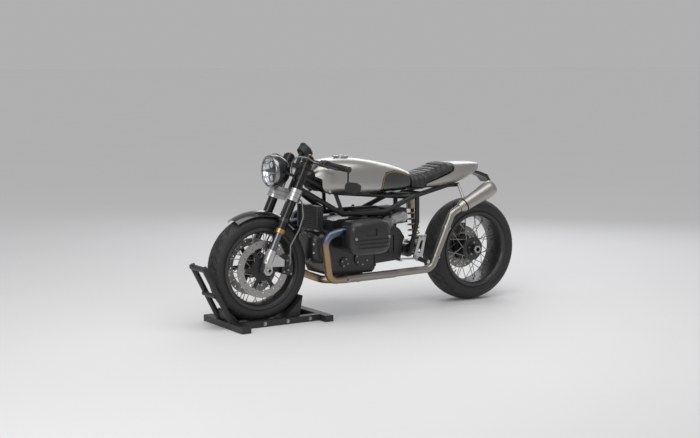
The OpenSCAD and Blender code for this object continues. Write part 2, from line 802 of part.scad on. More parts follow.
module brake_hoses() {
    start = bar_spot(1, perch_at - loose_gap) + [cos(bar_sweep), sin(bar_sweep), 0] * (bar_r + perch_t / 2);
    line = concat([start, start - bar_way(1) * line_run], [for (p = line_route) fork_point(p)],
        [for (rise = [line_rise, loose_gap])
            fork_point([line_seat[0], line_seat[1], lower_clamp_high + rise])]);
    axle = [wheelbase, 0, front_axle_z];
    low = axle + hose_route[3];
    path = concat([fork_point(hose_seat + hose_out * loose_gap), fork_point(hose_seat + hose_out * hose_run)],
        [for (p = hose_route) axle + p], [[low[0], front_disc_y + caliper_out + loose_gap, low[2]]]);
    for (s = [0, 1]) color("#6d7074") mirror([0, s, 0]) {
        sweep(path, hose_bend, hose_r, 8, 4, [1, 0.35, 0.25]);
        sweep(line, hose_bend, line_r, 8, 4, [0.35, 0.25, 1]);
    }
}

// Wheel chock

chock_rail_y = 100;
hoop_half = 72;
hoop_bar_h = 190;
bolt_hole_r = 5.5;
bolt_y_share = 0.7;
chock_back_share = 0.8;

module wheel_chock() {
    w = chock_rail_w;
    h = chock_rail_h;
    leg_x = chock_front - w * 0.3;
    color("#1a1b1d") difference() {
        union() {
            for (s = [-1, 1]) block([chock_back, s * chock_rail_y - w / 2, 0], [chock_front,
                s * chock_rail_y + w / 2, h]);
            block([chock_front - w, -chock_half, 0], [chock_front + w * 0.4, chock_half, h]);
            block([chock_back, -chock_half * chock_back_share, 0], [chock_back + w * 1.3,
                chock_half * chock_back_share, h]);
            bars([[leg_x, -hoop_half, h / 2], [hoop_top_x, -hoop_half, hoop_h], [hoop_top_x, hoop_half,
                hoop_h],
                [leg_x, hoop_half, h / 2]], hoop_r);
            cross_bar((chock_front + hoop_top_x) / 2 + hoop_r * 0.9, hoop_bar_h, -hoop_half, hoop_half,
                hoop_r * 0.8);
        }
        for (x = [chock_back + w * 0.65, leg_x], s = [-1, 1]) translate([x, s * chock_half * bolt_y_share,
            -overrun])
            cylinder(h = h + 2 * overrun, r = bolt_hole_r);
    }
}

cradle_rear_reach = 249;
cradle_rear_h = 160;
cradle_ramp = 125;
cradle_stop_half = 50;
cradle_stop_h = 104;
cradle_stop_reach = 227;
cradle_plate_t = 12;

module chock_cradle() {
    inner = chock_rail_y - chock_rail_w / 2 - seat_gap;
    back = wheelbase - cradle_rear_reach;
    foot_x = back + cradle_plate_t * 2.2;
    stop = chock_front - chock_rail_w - seat_gap;
    deck = chock_rail_h + seat_gap;
    stop_x = wheelbase + cradle_stop_reach;
    color("#202124") difference() {
        union() {
            slab([[back + cradle_plate_t * 1.2, cradle_rear_h], [back, cradle_rear_h - cradle_plate_t * 0.8],
                [foot_x, cradle_floor_t / 2], [wheelbase - cradle_ramp, cradle_floor_t / 2]], -inner, inner);
            slab([[wheelbase + cradle_ramp * 0.92, cradle_floor_t / 2], [stop, cradle_floor_t / 2], [stop,
                deck],
                [stop_x - cradle_plate_t * 1.8, deck], [stop_x, cradle_stop_h - cradle_plate_t * 0.7],
                [stop_x - cradle_plate_t * 0.8, cradle_stop_h]], -cradle_stop_half, cradle_stop_half);
            block([foot_x, -inner, 0], [stop, inner, cradle_floor_t]);
        }
        on_axle(wheelbase, 0, front_axle_z) cylinder(h = 2 * front_tyre_w, r = front_tyre_r + seat_gap,
            center = true);
    }
}

// Frame and swingarm

tube_r = 15;
brace_r = 11;
frame_half = 120;
head_spread = 20;
// Columns: back from the cylinders to the pivot, across the frame's half width, up from engine to tank
low_chord_shares = [[-0.081, 0.833, 0.17], [0.5566, 1, 0.178], [1.032, 1, 0.815], [1.72, 0.517, 1.21]];
top_chord_shares = [[-0.15, 0.517, 1.161], [0.889, 0.733, 0.806], [1.032, 1, 0.815]];
post_shares = [[1.097, 0.933, 0.837], [1.1, 0.933, -0.45]];
pivot_share = 0.8667;
shock_bar_share = 0.22;

function spot(p) = [cylinder_x - p[0] * pivot_run, p[1] * frame_half, case_top + p[2] * rail_rise];
function spots(shares) = [for (p = shares) spot(p)];
function head_spot(w) = fork_point([steer_u, 0, w]) + [0, head_spread, 0];
low_chord = concat([head_spot(lower_clamp_high + tube_r * 1.75)], spots(low_chord_shares));
top_chord = concat([head_spot(upper_clamp_low - tube_r * 1.9)], spots(top_chord_shares));
pivot = [pivot_x, pivot_share * frame_half, pivot_z];
post = concat(spots(post_shares), [pivot]);
// Where the bar that carries the shock crosses the seat rails
shock_bar = low_chord[3] + (low_chord[4] - low_chord[3]) * shock_bar_share;

module frame() {
    color("#131416") difference() {
        union() {
            on_fork() translate([steer_u, 0, lower_clamp_high + seat_gap])
                cylinder(h = head_len - 2 * seat_gap, r = head_tube_r);
            for (s = [-1, 1]) {
                bars(on_side(low_chord, s), tube_r);
                bars(on_side(top_chord, s), tube_r * 0.96);
                bars(on_side(post, s), tube_r * 0.92);
                bars(on_side([top_chord[1], low_chord[1]], s), brace_r);
            }
            for (p = [low_chord[3], low_chord[4], top_chord[1], shock_bar]) rod(p, other(p), brace_r);
            rod(pivot, other(pivot), tube_r * 1.2);
        }
        on_fork() translate([steer_u, 0, lower_clamp_high - overrun])
            cylinder(h = head_len + 2 * overrun, r = stem_r + pin_gap);
    }
}

arm_y = -140;
arm_r = 34;
arm_knee_share = 0.23;
pivot_tube_r = 40;
pivot_half = 88;
shock_arm_r = 20;
shock_foot_share = 0.452;
torque_rod_r = 11;
shaft_drop_share = 0.13;
shock_foot_x = rear_tyre_r + (pivot[0] - rear_tyre_r) * shock_foot_share;

module swingarm() {
    knee = [pivot[0] * (1 - arm_knee_share), arm_y, pivot[2]];
    end_x = drive_r * 0.65;
    color("#1d1e21") difference() {
        union() {
            cross_bar(pivot[0], pivot[2], -pivot_half, pivot_half, pivot_tube_r);
            bars([[pivot[0] - pivot_tube_r * 0.35, -pivot_half * 0.68, pivot[2]], knee,
                [end_x, arm_y, rear_axle_z + drive_r * shaft_drop_share]], arm_r);
            rod([pivot[0], 0, pivot[2]], [shock_foot_x - shock_arm_r, 0, pivot[2]], shock_arm_r);
            rod([pivot[0] - pivot_tube_r * 0.6, -pivot_half * 0.86, pivot[2] - pivot_tube_r * 0.85],
                [end_x, arm_y, rear_axle_z - drive_r * 0.65], torque_rod_r);
        }
        rod(pivot + [0, overrun, 0], other(pivot) - [0, overrun, 0], tube_r * 1.2 + seat_gap);
        cross_bar(0, rear_axle_z, 2 * drive_out, 0, drive_r + loose_gap);
        rod(other(post[1]), other(post[2]) + (other(post[2]) - other(post[1])) * 0.06, tube_r);
    }
}

module final_drive() {
    color("#2b2c2f") difference() {
        union() {
            turned(0, rear_axle_z) polygon([[0, drive_in], [drive_r * 0.9, drive_in], [drive_r,
                drive_in - drive_lip],
                [drive_r, drive_out + drive_lip * 2.1], [drive_r * 0.7, drive_out + drive_lip * 0.4],
                [drive_r * 0.4, drive_out], [0, drive_out]]);
            cross_bar(0, rear_axle_z, drive_in - drive_lip, stub_out, rear_stub_r);
        }
        cross_bar(0, rear_axle_z, drive_out - overrun, stub_out + overrun, rear_bore_r);
    }
}

coil_r = 33;
coil_wire_r = 5.5;
coil_turns = 6;
coil_share = 0.62;
shock_rod_r = 11;
shock_plate_r = 40;
shock_plate_t = 8;
shock_body_r = 36;
shock_body_h = 60;
shock_foot_gap = 23;

module rear_shock() {
    steps = 14;
    low = [shock_foot_x, 0, pivot[2]];
    high = [shock_bar[0], 0, shock_bar[2] - brace_r - 1.5 * seat_gap];
    d = high - low;
    l = norm(d);
    coil_low = shock_foot_gap + shock_plate_t * 2.4;
    coil_len = l * coil_share;
    path = [for (k = [0:coil_turns * steps]) let (a = 360 * k / steps)
        [coil_r * cos(a), coil_r * sin(a), coil_low + coil_len * k / (coil_turns * steps)]];
    color("#b8a14a") translate(low) rotate([0, acos(d[2] / l), 0]) {
        translate([0, 0, shock_foot_gap]) cylinder(h = l - shock_foot_gap, r = shock_rod_r);
        translate([0, 0, coil_low - shock_plate_t]) cylinder(h = shock_plate_t * 1.3, r = shock_plate_r);
        translate([0, 0, coil_low + coil_len - shock_plate_t * 0.3]) cylinder(h = shock_body_h,
            r = shock_body_r);
        skin([for (i = [0:len(path) - 1]) sweep_ring(path, i, coil_wire_r, 6, [0, 0, 1])]);
    }
}

// Engine

case_half = 128;
gearbox_half = 92;
sump_half = 70;
sump_h = 45;
sump_len = 190;
sump_rib_t = 4;
sump_rib_h = 9;
sump_ribs = 5;
barrel_len = 100;
barrel_r = 66;
head_w = 214;
head_h = 172;
head_depth = 90;
fin_w = 196;
fin_h = 168;
fin_t = 3.4;
fin_corner = 30;
head_out = case_half + barrel_len + head_depth;
// Columns: from the back of the case forward and from its floor up
case_shares = [[0.0625, 0], [0.9375, 0], [1, 0.155], [1, 0.776], [0.875, 0.975], [0.56, 1], [0.16, 1], [0,
    0.93], [0, 0.06]];
gearbox_shares = [[1, 0.12], [1, 0.99], [0.63, 0.96], [0.14, 0.714], [0, 0.56], [0.06, 0.466], [0.12, 0.155]];
case_outline = outline(case_back, case_low, case_len, case_h, case_shares);
bell_t = 9;
bell_rim = 6;
side_cover_r = 46;
side_cover_t = 9;
// Columns: from the back of the case forward and from its floor up, radius
side_cover_shares = [[0.3, 0.27, 1], [0.66, 0.22, 0.62]];
gearbox_rib_t = 5;
gearbox_rib_h = 6;
gearbox_rib_shares = [0.3, 0.46, 0.62, 0.78];
starter_r = 34;
starter_len = 150;
starter_y = 46;
engine_lug_w = 18;
engine_lug_len = 32;
// Places of the engine's lugs along the case
engine_lug_shares = [0.2, 0.45];

// The frame's level stretch at x
function chord_at(x) = let (a = low_chord[1], b = low_chord[2]) a + (b - a) * (x - a[0]) / (b[0] - a[0]);

module engine_block() {
    sump_front = case_front - case_len * 0.28;
    color("#1f2023") {
        slab(case_outline, -case_half, case_half);
        slab(outline(gearbox_back, case_low, gearbox_len, case_h, gearbox_shares),
            -gearbox_half, gearbox_half);
        for (k = [0:sump_ribs - 1]) let (y = sump_half * (1.6 * k / (sump_ribs - 1) - 0.8))
            block([sump_front - sump_len * 0.86, y - sump_rib_t / 2, case_low - sump_h - sump_rib_h],
                [sump_front - sump_len * 0.14, y + sump_rib_t / 2, case_low]);
        slab(outline(sump_front - sump_len, case_low - sump_h, sump_len, sump_h * 1.2,
            [[0, 1], [1, 1], [0.92, 0], [0.08, 0]]), -sump_half, sump_half);
        block([case_back - bell_t / 2, -case_half - bell_rim, case_low + case_h * 0.1],
            [case_back + bell_t / 2, case_half + bell_rim, case_low + case_h * 0.86]);
        for (w = side_cover_shares, s = [-1, 1]) let (x = case_back + case_len * w[0],
            z = case_low + case_h * w[1])
            rod([x, s * (case_half - overrun), z], [x, s * (case_half + side_cover_t), z],
                side_cover_r * w[2]);
        for (f = gearbox_rib_shares)
            let (x = gearbox_back + gearbox_len * f, y = gearbox_half + gearbox_rib_h)
            block([x, -y, case_low + case_h * 0.3], [x + gearbox_rib_t, y, case_low + case_h * 0.62]);
        translate([case_back - starter_len * 0.4, starter_y, case_top + starter_r * 0.55]) rotate([0, 90, 0])
            cylinder(h = starter_len, r = starter_r);
        for (f = engine_lug_shares, s = [-1, 1]) let (p = chord_at(case_back + case_len * f))
            block([p[0] - engine_lug_len / 2, s * p[1] - engine_lug_w / 2, case_low + case_h * 0.95],
                [p[0] + engine_lug_len / 2, s * p[1] + engine_lug_w / 2, p[2] - tube_r - 1.7 * seat_gap]);
    }
}

nose_len = 76;
nose_half = 108;
nose_tall = 98;
nose_drop = 80;
// Columns: place along the nose, width and height as shares
nose_shares = [[0, 1, 1], [0.35, 0.98, 0.98], [0.7, 0.9, 0.92], [0.9, 0.76, 0.8], [1, 0.58, 0.62]];

module engine_front_cover() {
    mid = cylinder_z - nose_drop;
    color("#1b1c1f") skin([for (w = nose_shares) ring(case_front + seat_gap + nose_len * w[0],
        nose_half * w[1],
        mid - nose_tall * w[2], mid, mid + nose_tall * w[2], 0.62, 28)]);
}

module cylinders() {
    pitch = barrel_len / fin_count;
    for (s = [-1, 1]) color("#232427")
        translate([cylinder_x + s * cylinder_stagger / 2, s * (case_half + seat_gap), cylinder_z])
            rotate([-s * 90, 0, 0]) {
                cylinder(h = barrel_len + fin_t, r = barrel_r);
                for (k = [0:fin_count - 1]) translate([0, 0, pitch * (k + 0.5)])
                    linear_extrude(height = fin_t)
                    polygon(round_rect(fin_w, fin_h, fin_corner));
                translate([0, 0, barrel_len]) linear_extrude(height = head_depth - seat_gap)
                    polygon(round_rect(head_w, head_h, fin_corner * 0.8));
            }
}

cover_half = 136;
cover_tall = 100;
// Columns: place outwards, length and height as shares
cover_shares = [[0, 1, 1], [0.3, 1, 1], [0.6, 0.97, 0.96], [0.85, 0.88, 0.86], [1, 0.7, 0.66]];

cover_boss_r = 12;
cover_boss_share = 0.8;
cover_groove_h = 8;
cover_groove_depth = 7;
// Heights of the grooves and corners of the pocket, from the middle of the cover's face
cover_groove_shares = [-0.52, -0.3, -0.08];
cover_pocket_shares = [[-0.34, 0.12], [0.2, 0.5]];

module valve_covers() {
    from = head_out + seat_gap;
    deep = engine_half - cover_groove_depth;
    out = engine_half + overrun;
    pocket = cover_pocket_shares;
    for (s = [-1, 1]) color("#1c1d20")
        translate([cylinder_x + s * cylinder_stagger / 2, 0, cylinder_z]) rotate([0, 0, s * 90])
            difference() {
                union() {
                    skin([for (w = cover_shares) ring(from + (engine_half - from) * w[0], cover_half * w[1],
                        -cover_tall * w[2], 0, cover_tall * w[2], 0.5, 28)]);
                    for (k = [-1, 1]) let (y = k * cover_half * cover_boss_share)
                        rod([from, y, 0], [from + (engine_half - from) * 0.9, y, 0], cover_boss_r);
                }
                for (f = cover_groove_shares) let (z = cover_tall * f)
                    block([deep, -cover_half, z - cover_groove_h / 2],
                        [out, cover_half, z + cover_groove_h / 2]);
                block([deep, cover_half * pocket[0][0], cover_tall * pocket[0][1]],
                    [out, cover_half * pocket[1][0], cover_tall * pocket[1][1]]);
            }
}

cooler_t = 34;
cooler_half = 102;
cooler_h = 132;
cooler_gap = 22;
cooler_lift = 28;
cooler_fins = 11;
cooler_fin_t = 3;
cooler_tank_w = 12;
cooler_arm_r = 9;
cooler_arm_y = 62;

module oil_cooler() {
    back = case_front + cooler_gap;
    low = cylinder_z + cooler_lift;
    high = low + cooler_h;
    a = case_outline[3];
    b = case_outline[4];
    out = unit([b[1] - a[1], 0, a[0] - b[0]]);
    face = [(a[0] + b[0]) / 2, 0, (a[1] + b[1]) / 2];
    color("#2c2d30") {
        block([back + cooler_t * 0.3, -cooler_half, low], [back + cooler_t * 0.7, cooler_half, high]);
        for (k = [0:cooler_fins]) let (z = low + (cooler_h - cooler_fin_t) * k / cooler_fins)
            block([back, -cooler_half, z], [back + cooler_t, cooler_half, z + cooler_fin_t]);
        for (s = [-1, 1]) translate([back + cooler_t / 2, s * (cooler_half + cooler_tank_w * 0.4),
            low + cooler_h / 2])
            cube([cooler_t * 1.1, cooler_tank_w, cooler_h], center = true);
        for (s = [-1, 1]) translate([0, s * cooler_arm_y, 0])
            rod(face + out * loose_gap, face + out * (back + cooler_t / 2 - face[0]) / out[0], cooler_arm_r);
    }
}

airbox_ahead = 36.4;
airbox_len = 98;
airbox_h = 90;
airbox_half = 104;
airbox_drop = 12;
airbox_shares = [[-0.5, -0.45], [0.48, -0.52], [0.5, 0.46], [-0.42, 0.5]];
port_y = 262;
port_lift = 32;
port_run = 34;
intake_r = 28;
intake_ring_r = 34;
throttle_share = 0.535;
throttle_y = 172;
throttle_drop = 26;
intake_box_y = 140;
airbox_x = gearbox_back + airbox_ahead;
airbox_z = case_top - airbox_drop;
throttle_z = case_top - throttle_drop;

module airbox() {
    color("#232427") slab(outline(airbox_x, airbox_z, airbox_len, airbox_h, airbox_shares), -airbox_half,
        airbox_half);
}

module intakes() {
    for (s = [-1, 1]) color("#a9abad") {
        face = cylinder_x + s * cylinder_stagger / 2 - head_w / 2 - loose_gap;
        start = [face, s * port_y, cylinder_z + port_lift];
        bend = start - [port_run, 0, 0];
        throttle = [airbox_x + (bend[0] - airbox_x) * throttle_share, s * throttle_y, throttle_z];
        box_x = airbox_x + airbox_len * 0.2;
        bars([start, bend, throttle, [box_x, s * intake_box_y, airbox_z], [box_x,
            s * (airbox_half + loose_gap), airbox_z]],
            intake_r);
        rod(throttle + (bend - throttle) * 0.12, throttle + (bend - throttle) * 0.36, intake_ring_r);
    }
}

// Exhaust

pipe_bend = 62;
muffler_rise = 25;
muffler_tail = 62;
muffler_bore_r = 26;
muffler_strut_r = 8;
// Columns: back from the cylinders to the pivot, across the engine's half width, up the crankcase
left_pipe_shares = [[-0.616, 0.7, 0.776], [-0.439, 0.5325, -0.037], [0.704, 0.39, -0.056], [1.254, 0.431,
    -0.031]];
right_pipe_shares = [[-0.566, -0.7, 0.776], [-0.4226, -0.5195, 0.037], [-0.367, -0.234, -0.062],
    [-0.349, 0.182, -0.087], [-0.127, 0.317, -0.093], [0.704, 0.3325, -0.081]];
muffler_share = [1.707, 0.457, 1.05];

flange_r = 33;
flange_t = 9;
stud_r = 5;
stud_len = 24;
stud_share = 0.78;

function pipe_spot(p) = [cylinder_x - p[0] * pivot_run, p[1] * engine_half, case_low + p[2] * case_h];
muffler_start = pipe_spot(muffler_share);
muffler_way = [-cos(muffler_rise), 0, sin(muffler_rise)];

function port(s) = [cylinder_x + s * cylinder_stagger / 2 + head_w / 2 + loose_gap, s * port_y * 1.05,
    cylinder_z + port_lift];

module exhaust_pipes() {
    left = concat([port(1), port(1) + [port_run, 0, 0]], [for (p = left_pipe_shares) pipe_spot(p)],
        [muffler_start - muffler_way * muffler_tail, muffler_start]);
    right = concat([port(-1), port(-1) + [port_run, 0, 0]], [for (p = right_pipe_shares) pipe_spot(p)]);
    color("#8f8375") {
        sweep(left, pipe_bend, pipe_r, 16, 6, [0, 1, 0]);
        sweep(right, pipe_bend, pipe_r * 0.97, 16, 6, [0, 1, 0]);
        for (s = [-1, 1]) {
            rod(port(s), port(s) + [flange_t, 0, 0], flange_r);
            for (k = [-1, 1]) let (p = port(s) + [0, 0, k * flange_r * stud_share])
                rod(p, p + [stud_len, 0, 0], stud_r);
        }
    }
}

module muffler() {
    l = muffler_len;
    hang = muffler_start + muffler_way * l * 0.26;
    rail = low_chord[4];
    color("#a3a09b") {
        translate(muffler_start) rotate([0, muffler_rise - 90, 0]) rotate_extrude()
            polygon([[pipe_r * 0.6, seat_gap], [pipe_r * 1.2, seat_gap], [muffler_r * 0.78, l * 0.12],
                [muffler_r, l * 0.92], [muffler_r * 0.9, l], [muffler_bore_r, l], [muffler_bore_r, l * 0.6],
                [pipe_r * 0.6, l * 0.6]]);
        rod(hang - [0, muffler_r * 0.6, 0], [hang[0], rail[1] + tube_r + loose_gap * 2, rail[2]],
            muffler_strut_r);
    }
}

// Tank, seat and tail

tank_ahead = 207;
tank_front = cylinder_x + tank_ahead;
tank_back = tank_front - tank_len;
tunnel_gap = 12;
tank_pad_r = 14;
// Columns: place along the tank, half width, underside, widest height, top, as shares of the tank's sizes
tank_shares = [[0, 0.5, 0.14, 0.45, 0.74], [0.05, 0.66, 0.06, 0.42, 0.9], [0.2, 0.9, 0.02, 0.4, 0.985],
    [0.38, 1, 0, 0.38, 1], [0.58, 0.96, 0, 0.36, 0.93], [0.78, 0.8, 0, 0.36, 0.8], [0.94, 0.68, 0, 0.36,
        0.66],
    [1, 0.62, 0.04, 0.34, 0.58]];
// Columns: back along the tank and up it
panel_shares = [[0.6156, -0.28], [0.619, 0.0935], [0.644, 0.42], [0.6875, 0.6], [0.8, 0.6355], [0.9875,
    0.486],
    [1.1, 0.42], [1.1, -0.28]];
panel_depth = 62;
filler_share = 0.347;
filler_r = 42;
filler_rise = 3;
filler_wall_h = 30;
filler_bore_r = 26;
filler_depth = 46;
cap_t = 9;
cap_lap = 2;
hinge_w = 20;
hinge_out = 6;
filler_x = tank_front - tank_len * filler_share;
filler_top = rail_z + tank_h + filler_rise;

module tank_form() {
    steps = 16;
    skin([for (k = [0:steps]) let (t = 1 - k / steps, w = [for (c = [1:4]) smooth(tank_shares, c, t)])
        ring(tank_front - tank_len * t, tank_half * w[0], rail_z + tank_h * w[1], rail_z + tank_h * w[2],
            rail_z + tank_h * w[3], 0.62, 32)]);
}

// Room for the frame's upper tubes under the tank
module tank_tunnel() {
    roof = [for (p = [top_chord[0], top_chord[1], top_chord[2]]) [p[0], p[2] + tube_r + tunnel_gap]];
    slope_end = roof[2] + (roof[2] - roof[1]) * 0.3;
    half = top_chord[2][1] + tube_r + tunnel_gap * 0.3;
    slab(concat(roof, [slope_end, [slope_end[0], rail_z - tank_h], [roof[0][0], rail_z - tank_h]]), -half,
        half);
}

// Side outline of the knee panel, grown by a gap
function panel_outline(gap) = [for (p = panel_shares) [tank_front - tank_len * p[0] + (p[0] < 0.7 ? gap : 0),
    rail_z + tank_h * p[1] + (p[0] > 0.7 ? gap : 0)]];

module fuel_tank() {
    pad_low = top_chord[1][2] + brace_r + seat_gap;
    color("#a7a39b") translate([top_chord[1][0], 0, pad_low])
        cylinder(h = tube_r + tunnel_gap - brace_r + overrun, r = tank_pad_r);
    color("#a7a39b") difference() {
        union() {
            tank_form();
            translate([filler_x, 0, filler_top - filler_wall_h]) cylinder(h = filler_wall_h, r = filler_r);
        }
        for (s = [-1, 1]) side_slab(panel_outline(seat_gap), s, panel_depth - seat_gap, 2 * tank_half);
        translate([filler_x, 0, filler_top - filler_depth]) cylinder(h = filler_depth + overrun,
            r = filler_bore_r);
        tank_tunnel();
    }
}

module knee_panels() {
    for (s = [-1, 1]) color("#101113") difference() {
        intersection() {
            tank_form();
            side_slab(panel_outline(0), s, panel_depth, 2 * tank_half);
        }
        tank_tunnel();
    }
}

module filler_cap() {
    z = filler_top + seat_gap;
    color("#b5b3ad") {
        translate([filler_x, 0, z]) cylinder(h = cap_t, r = filler_r - cap_lap);
        translate([filler_x + filler_r - cap_lap * 5, -hinge_w / 2, z]) cube([cap_lap * 5 + hinge_out,
            hinge_w, cap_t]);
        cross_bar(filler_x + filler_r + hinge_out, z + cap_t / 2, -hinge_w / 2, hinge_w / 2, cap_t * 0.56);
    }
}

seat_front_gap = 4;
seat_skirt = 100;
seat_h = 156;
seat_lift = 4;
cowl_lift = 10;
cowl_h = 148;
seat_front = tank_back - seat_front_gap;
seat_back = seat_front - seat_len;
cowl_front = seat_front - seat_skirt - seat_front_gap;
cowl_tip = cowl_front - cowl_len;
seat_low = rail_z + seat_lift;
cowl_low = rail_z + cowl_lift;
// Columns: place from the tip forward, half width, underside, top
cowl_shares = [[0, 0.16, 0.74, 0.86], [0.04, 0.34, 0.6, 0.93], [0.14, 0.58, 0.48, 0.985], [0.3, 0.8, 0.3, 1],
    [0.5, 0.92, 0.13, 1], [0.75, 0.97, 0.03, 0.92], [1, 0.98, 0, 0.8]];
// Columns: place from the rear end forward, half width, underside, top
seat_shares = [[0, 0.86, 0.3, 0.99], [0.22, 0.97, 0.26, 0.985], [0.46, 1, 0.1, 0.79], [0.66, 1.01, 0.03,
    0.68],
    [0.86, 1, 0.02, 0.62], [1, 0.92, 0.06, 0.58]];
// Columns: back from the cowl's front along the seat's length, up the cowl
seat_line_shares = [[0, -0.7], [0, 0.22], [-0.51, 0.58], [-0.604, 0.676], [-0.7, 1.18], [0.6, 1.18], [0.6,
    -0.7]];

// Side outline of the room above and ahead of the cowl that the seat fills
function seat_room(gap) = [for (p = seat_line_shares) [cowl_front + seat_len * p[0] + gap,
    cowl_low + cowl_h * p[1] + gap]];

module rail_cut(gap) {
    for (s = [-1, 1]) bars(on_side([low_chord[2], low_chord[3], low_chord[4] + (low_chord[4]
        - low_chord[3]) * 0.08], s),
        tube_r + gap);
    rod(low_chord[4], other(low_chord[4]), tube_r + gap);
}

module tail_cowl() {
    color("#a8a59f") difference() {
        skin([for (w = cowl_shares) let (low = cowl_low + cowl_h * w[2], top = cowl_low + cowl_h * w[3])
            ring(cowl_tip + cowl_len * w[0], seat_half * w[1], low, (low + top) / 2, top, 0.55, 28)]);
        slab(seat_room(0), -2 * seat_half, 2 * seat_half);
        rail_cut(seat_gap);
    }
}

module seat() {
    color("#191a1c") difference() {
        intersection() {
            skin([for (w = seat_shares) let (low = seat_low + seat_h * w[2], top = seat_low + seat_h * w[3])
                ring(seat_back + seat_len * w[0], seat_half * w[1], low, (low + top) / 2, top, 0.55, 28)]);
            slab(seat_room(loose_gap), -2 * seat_half, 2 * seat_half);
        }
        rail_cut(4 * seat_gap);
    }
}

tail_light_half = 46;
tail_light_len = 128;
tail_light_h = 75;
// Columns: back from the front edge and down from its seat under the cowl
tail_light_shares = [[0, 0], [-0.2, 0.134], [-0.78, -0.205], [-1, -0.765], [-0.92, -0.87], [-0.67, -0.44]];
tail_light_ahead = 46;
tail_light_drop = 0.7;

module tail_light() {
    x = cowl_tip + tail_light_ahead;
    a = cowl_shares[1];
    b = cowl_shares[2];
    f = (tail_light_ahead / cowl_len - a[0]) / (b[0] - a[0]);
    z = cowl_low + cowl_h * (a[2] + (b[2] - a[2]) * f) - tail_light_drop;
    color("#151619") slab(outline(x, z, tail_light_len, tail_light_h, tail_light_shares), -tail_light_half,
        tail_light_half);
}

// Footrests

hanger_y = 176;
hanger_t = 8;
hanger_h = 154;
hanger_w = 94;
hanger_stay_r = 9;
peg_r = 11;
peg_len = 108;
pedal_r = 6;
pedal_reach = 156;
pedal_pad_r = 8;
pedal_pad = 48;
// Columns: forward and up from the hanger's lower rear corner
hanger_shares = [[0, 1], [0.53, 1], [1, 0.14], [0.72, 0], [0.34, 0.05]];
hanger_hole_shares = [[0.255, 0.79], [0.425, 0.79], [0.7, 0.34], [0.49, 0.285]];
stay_share = 0.48;

module footrests() {
    x = pivot[0] - hanger_w * 0.64;
    z = pivot[2] - hanger_h * 0.35;
    out = hanger_y + hanger_t;
    high = post[2] + (post[1] - post[2]) * stay_share;
    peg_x = x + hanger_w * 0.72;
    peg_z = z + hanger_h * 0.12;
    tip = [peg_x + pedal_reach, out + pedal_pad_r * 2, peg_z + pedal_pad_r];
    for (s = [-1, 1]) color("#b1b3b5") {
        difference() {
            side_slab(outline(x, z, hanger_w, hanger_h, hanger_shares), s, hanger_y, out);
            side_slab(outline(x, z, hanger_w, hanger_h, hanger_hole_shares), s, hanger_y - overrun,
                out + overrun);
        }
        rod([peg_x, s * (out - overrun), peg_z], [peg_x - peg_r, s * (hanger_y + peg_len), peg_z - peg_r],
            peg_r);
        for (p = [high, pivot]) rod([p[0], s * (hanger_y + overrun), p[2]], [p[0], s * (p[1]
            + tube_r * 0.92 + 1.8 * loose_gap), p[2]],
            hanger_stay_r);
        rod([peg_x, s * (out + pedal_r), peg_z], [tip[0], s * tip[1], tip[2]], pedal_r);
        rod([tip[0], s * (tip[1] - pedal_r), tip[2]], [tip[0], s * (tip[1] + pedal_pad), tip[2]],
            pedal_pad_r);
    }
}

set_down() frame();
set_down() engine_block();
set_down() engine_front_cover();
set_down() cylinders();
set_down() valve_covers();
set_down() oil_cooler();
set_down() intakes();
set_down() airbox();
set_down() exhaust_pipes();
set_down() muffler();
set_down() fuel_tank();
set_down() knee_panels();
set_down() seat();
set_down() tail_cowl();
set_down() tail_light();
set_down() swingarm();
set_down() final_drive();
set_down() rear_shock();
set_down() rear_caliper();
set_down() footrests();
set_down() filler_cap();
set_down() upper_clamp();
set_down() lower_clamp();
set_down() fork_outer_tubes();
set_down() fork_inner_tubes();
set_down() fork_collars();
set_down() fork_feet();
set_down() front_axle();
set_down() headlight_shell();
set_down() headlight_lens();
set_down() handlebars();
set_down() grips();
set_down() hand_controls();
set_down() bar_end_mirrors();
set_down() gauge();
set_down() front_fender();
set_down() front_calipers();
set_down() brake_hoses();
set_down() wheel_chock();
set_down() chock_cradle();
set_down() front_tyre();
set_down() front_wire_wheel();
set_down() front_discs();
set_down() rear_tyre();
set_down() rear_wire_wheel();
set_down() rear_disc();
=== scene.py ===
"""Looks of a flat-twin cafe racer that stands in a front wheel chock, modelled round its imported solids."""
import json
import math

import bpy
from mathutils import Matrix, Vector
from mathutils.bvhtree import BVHTree

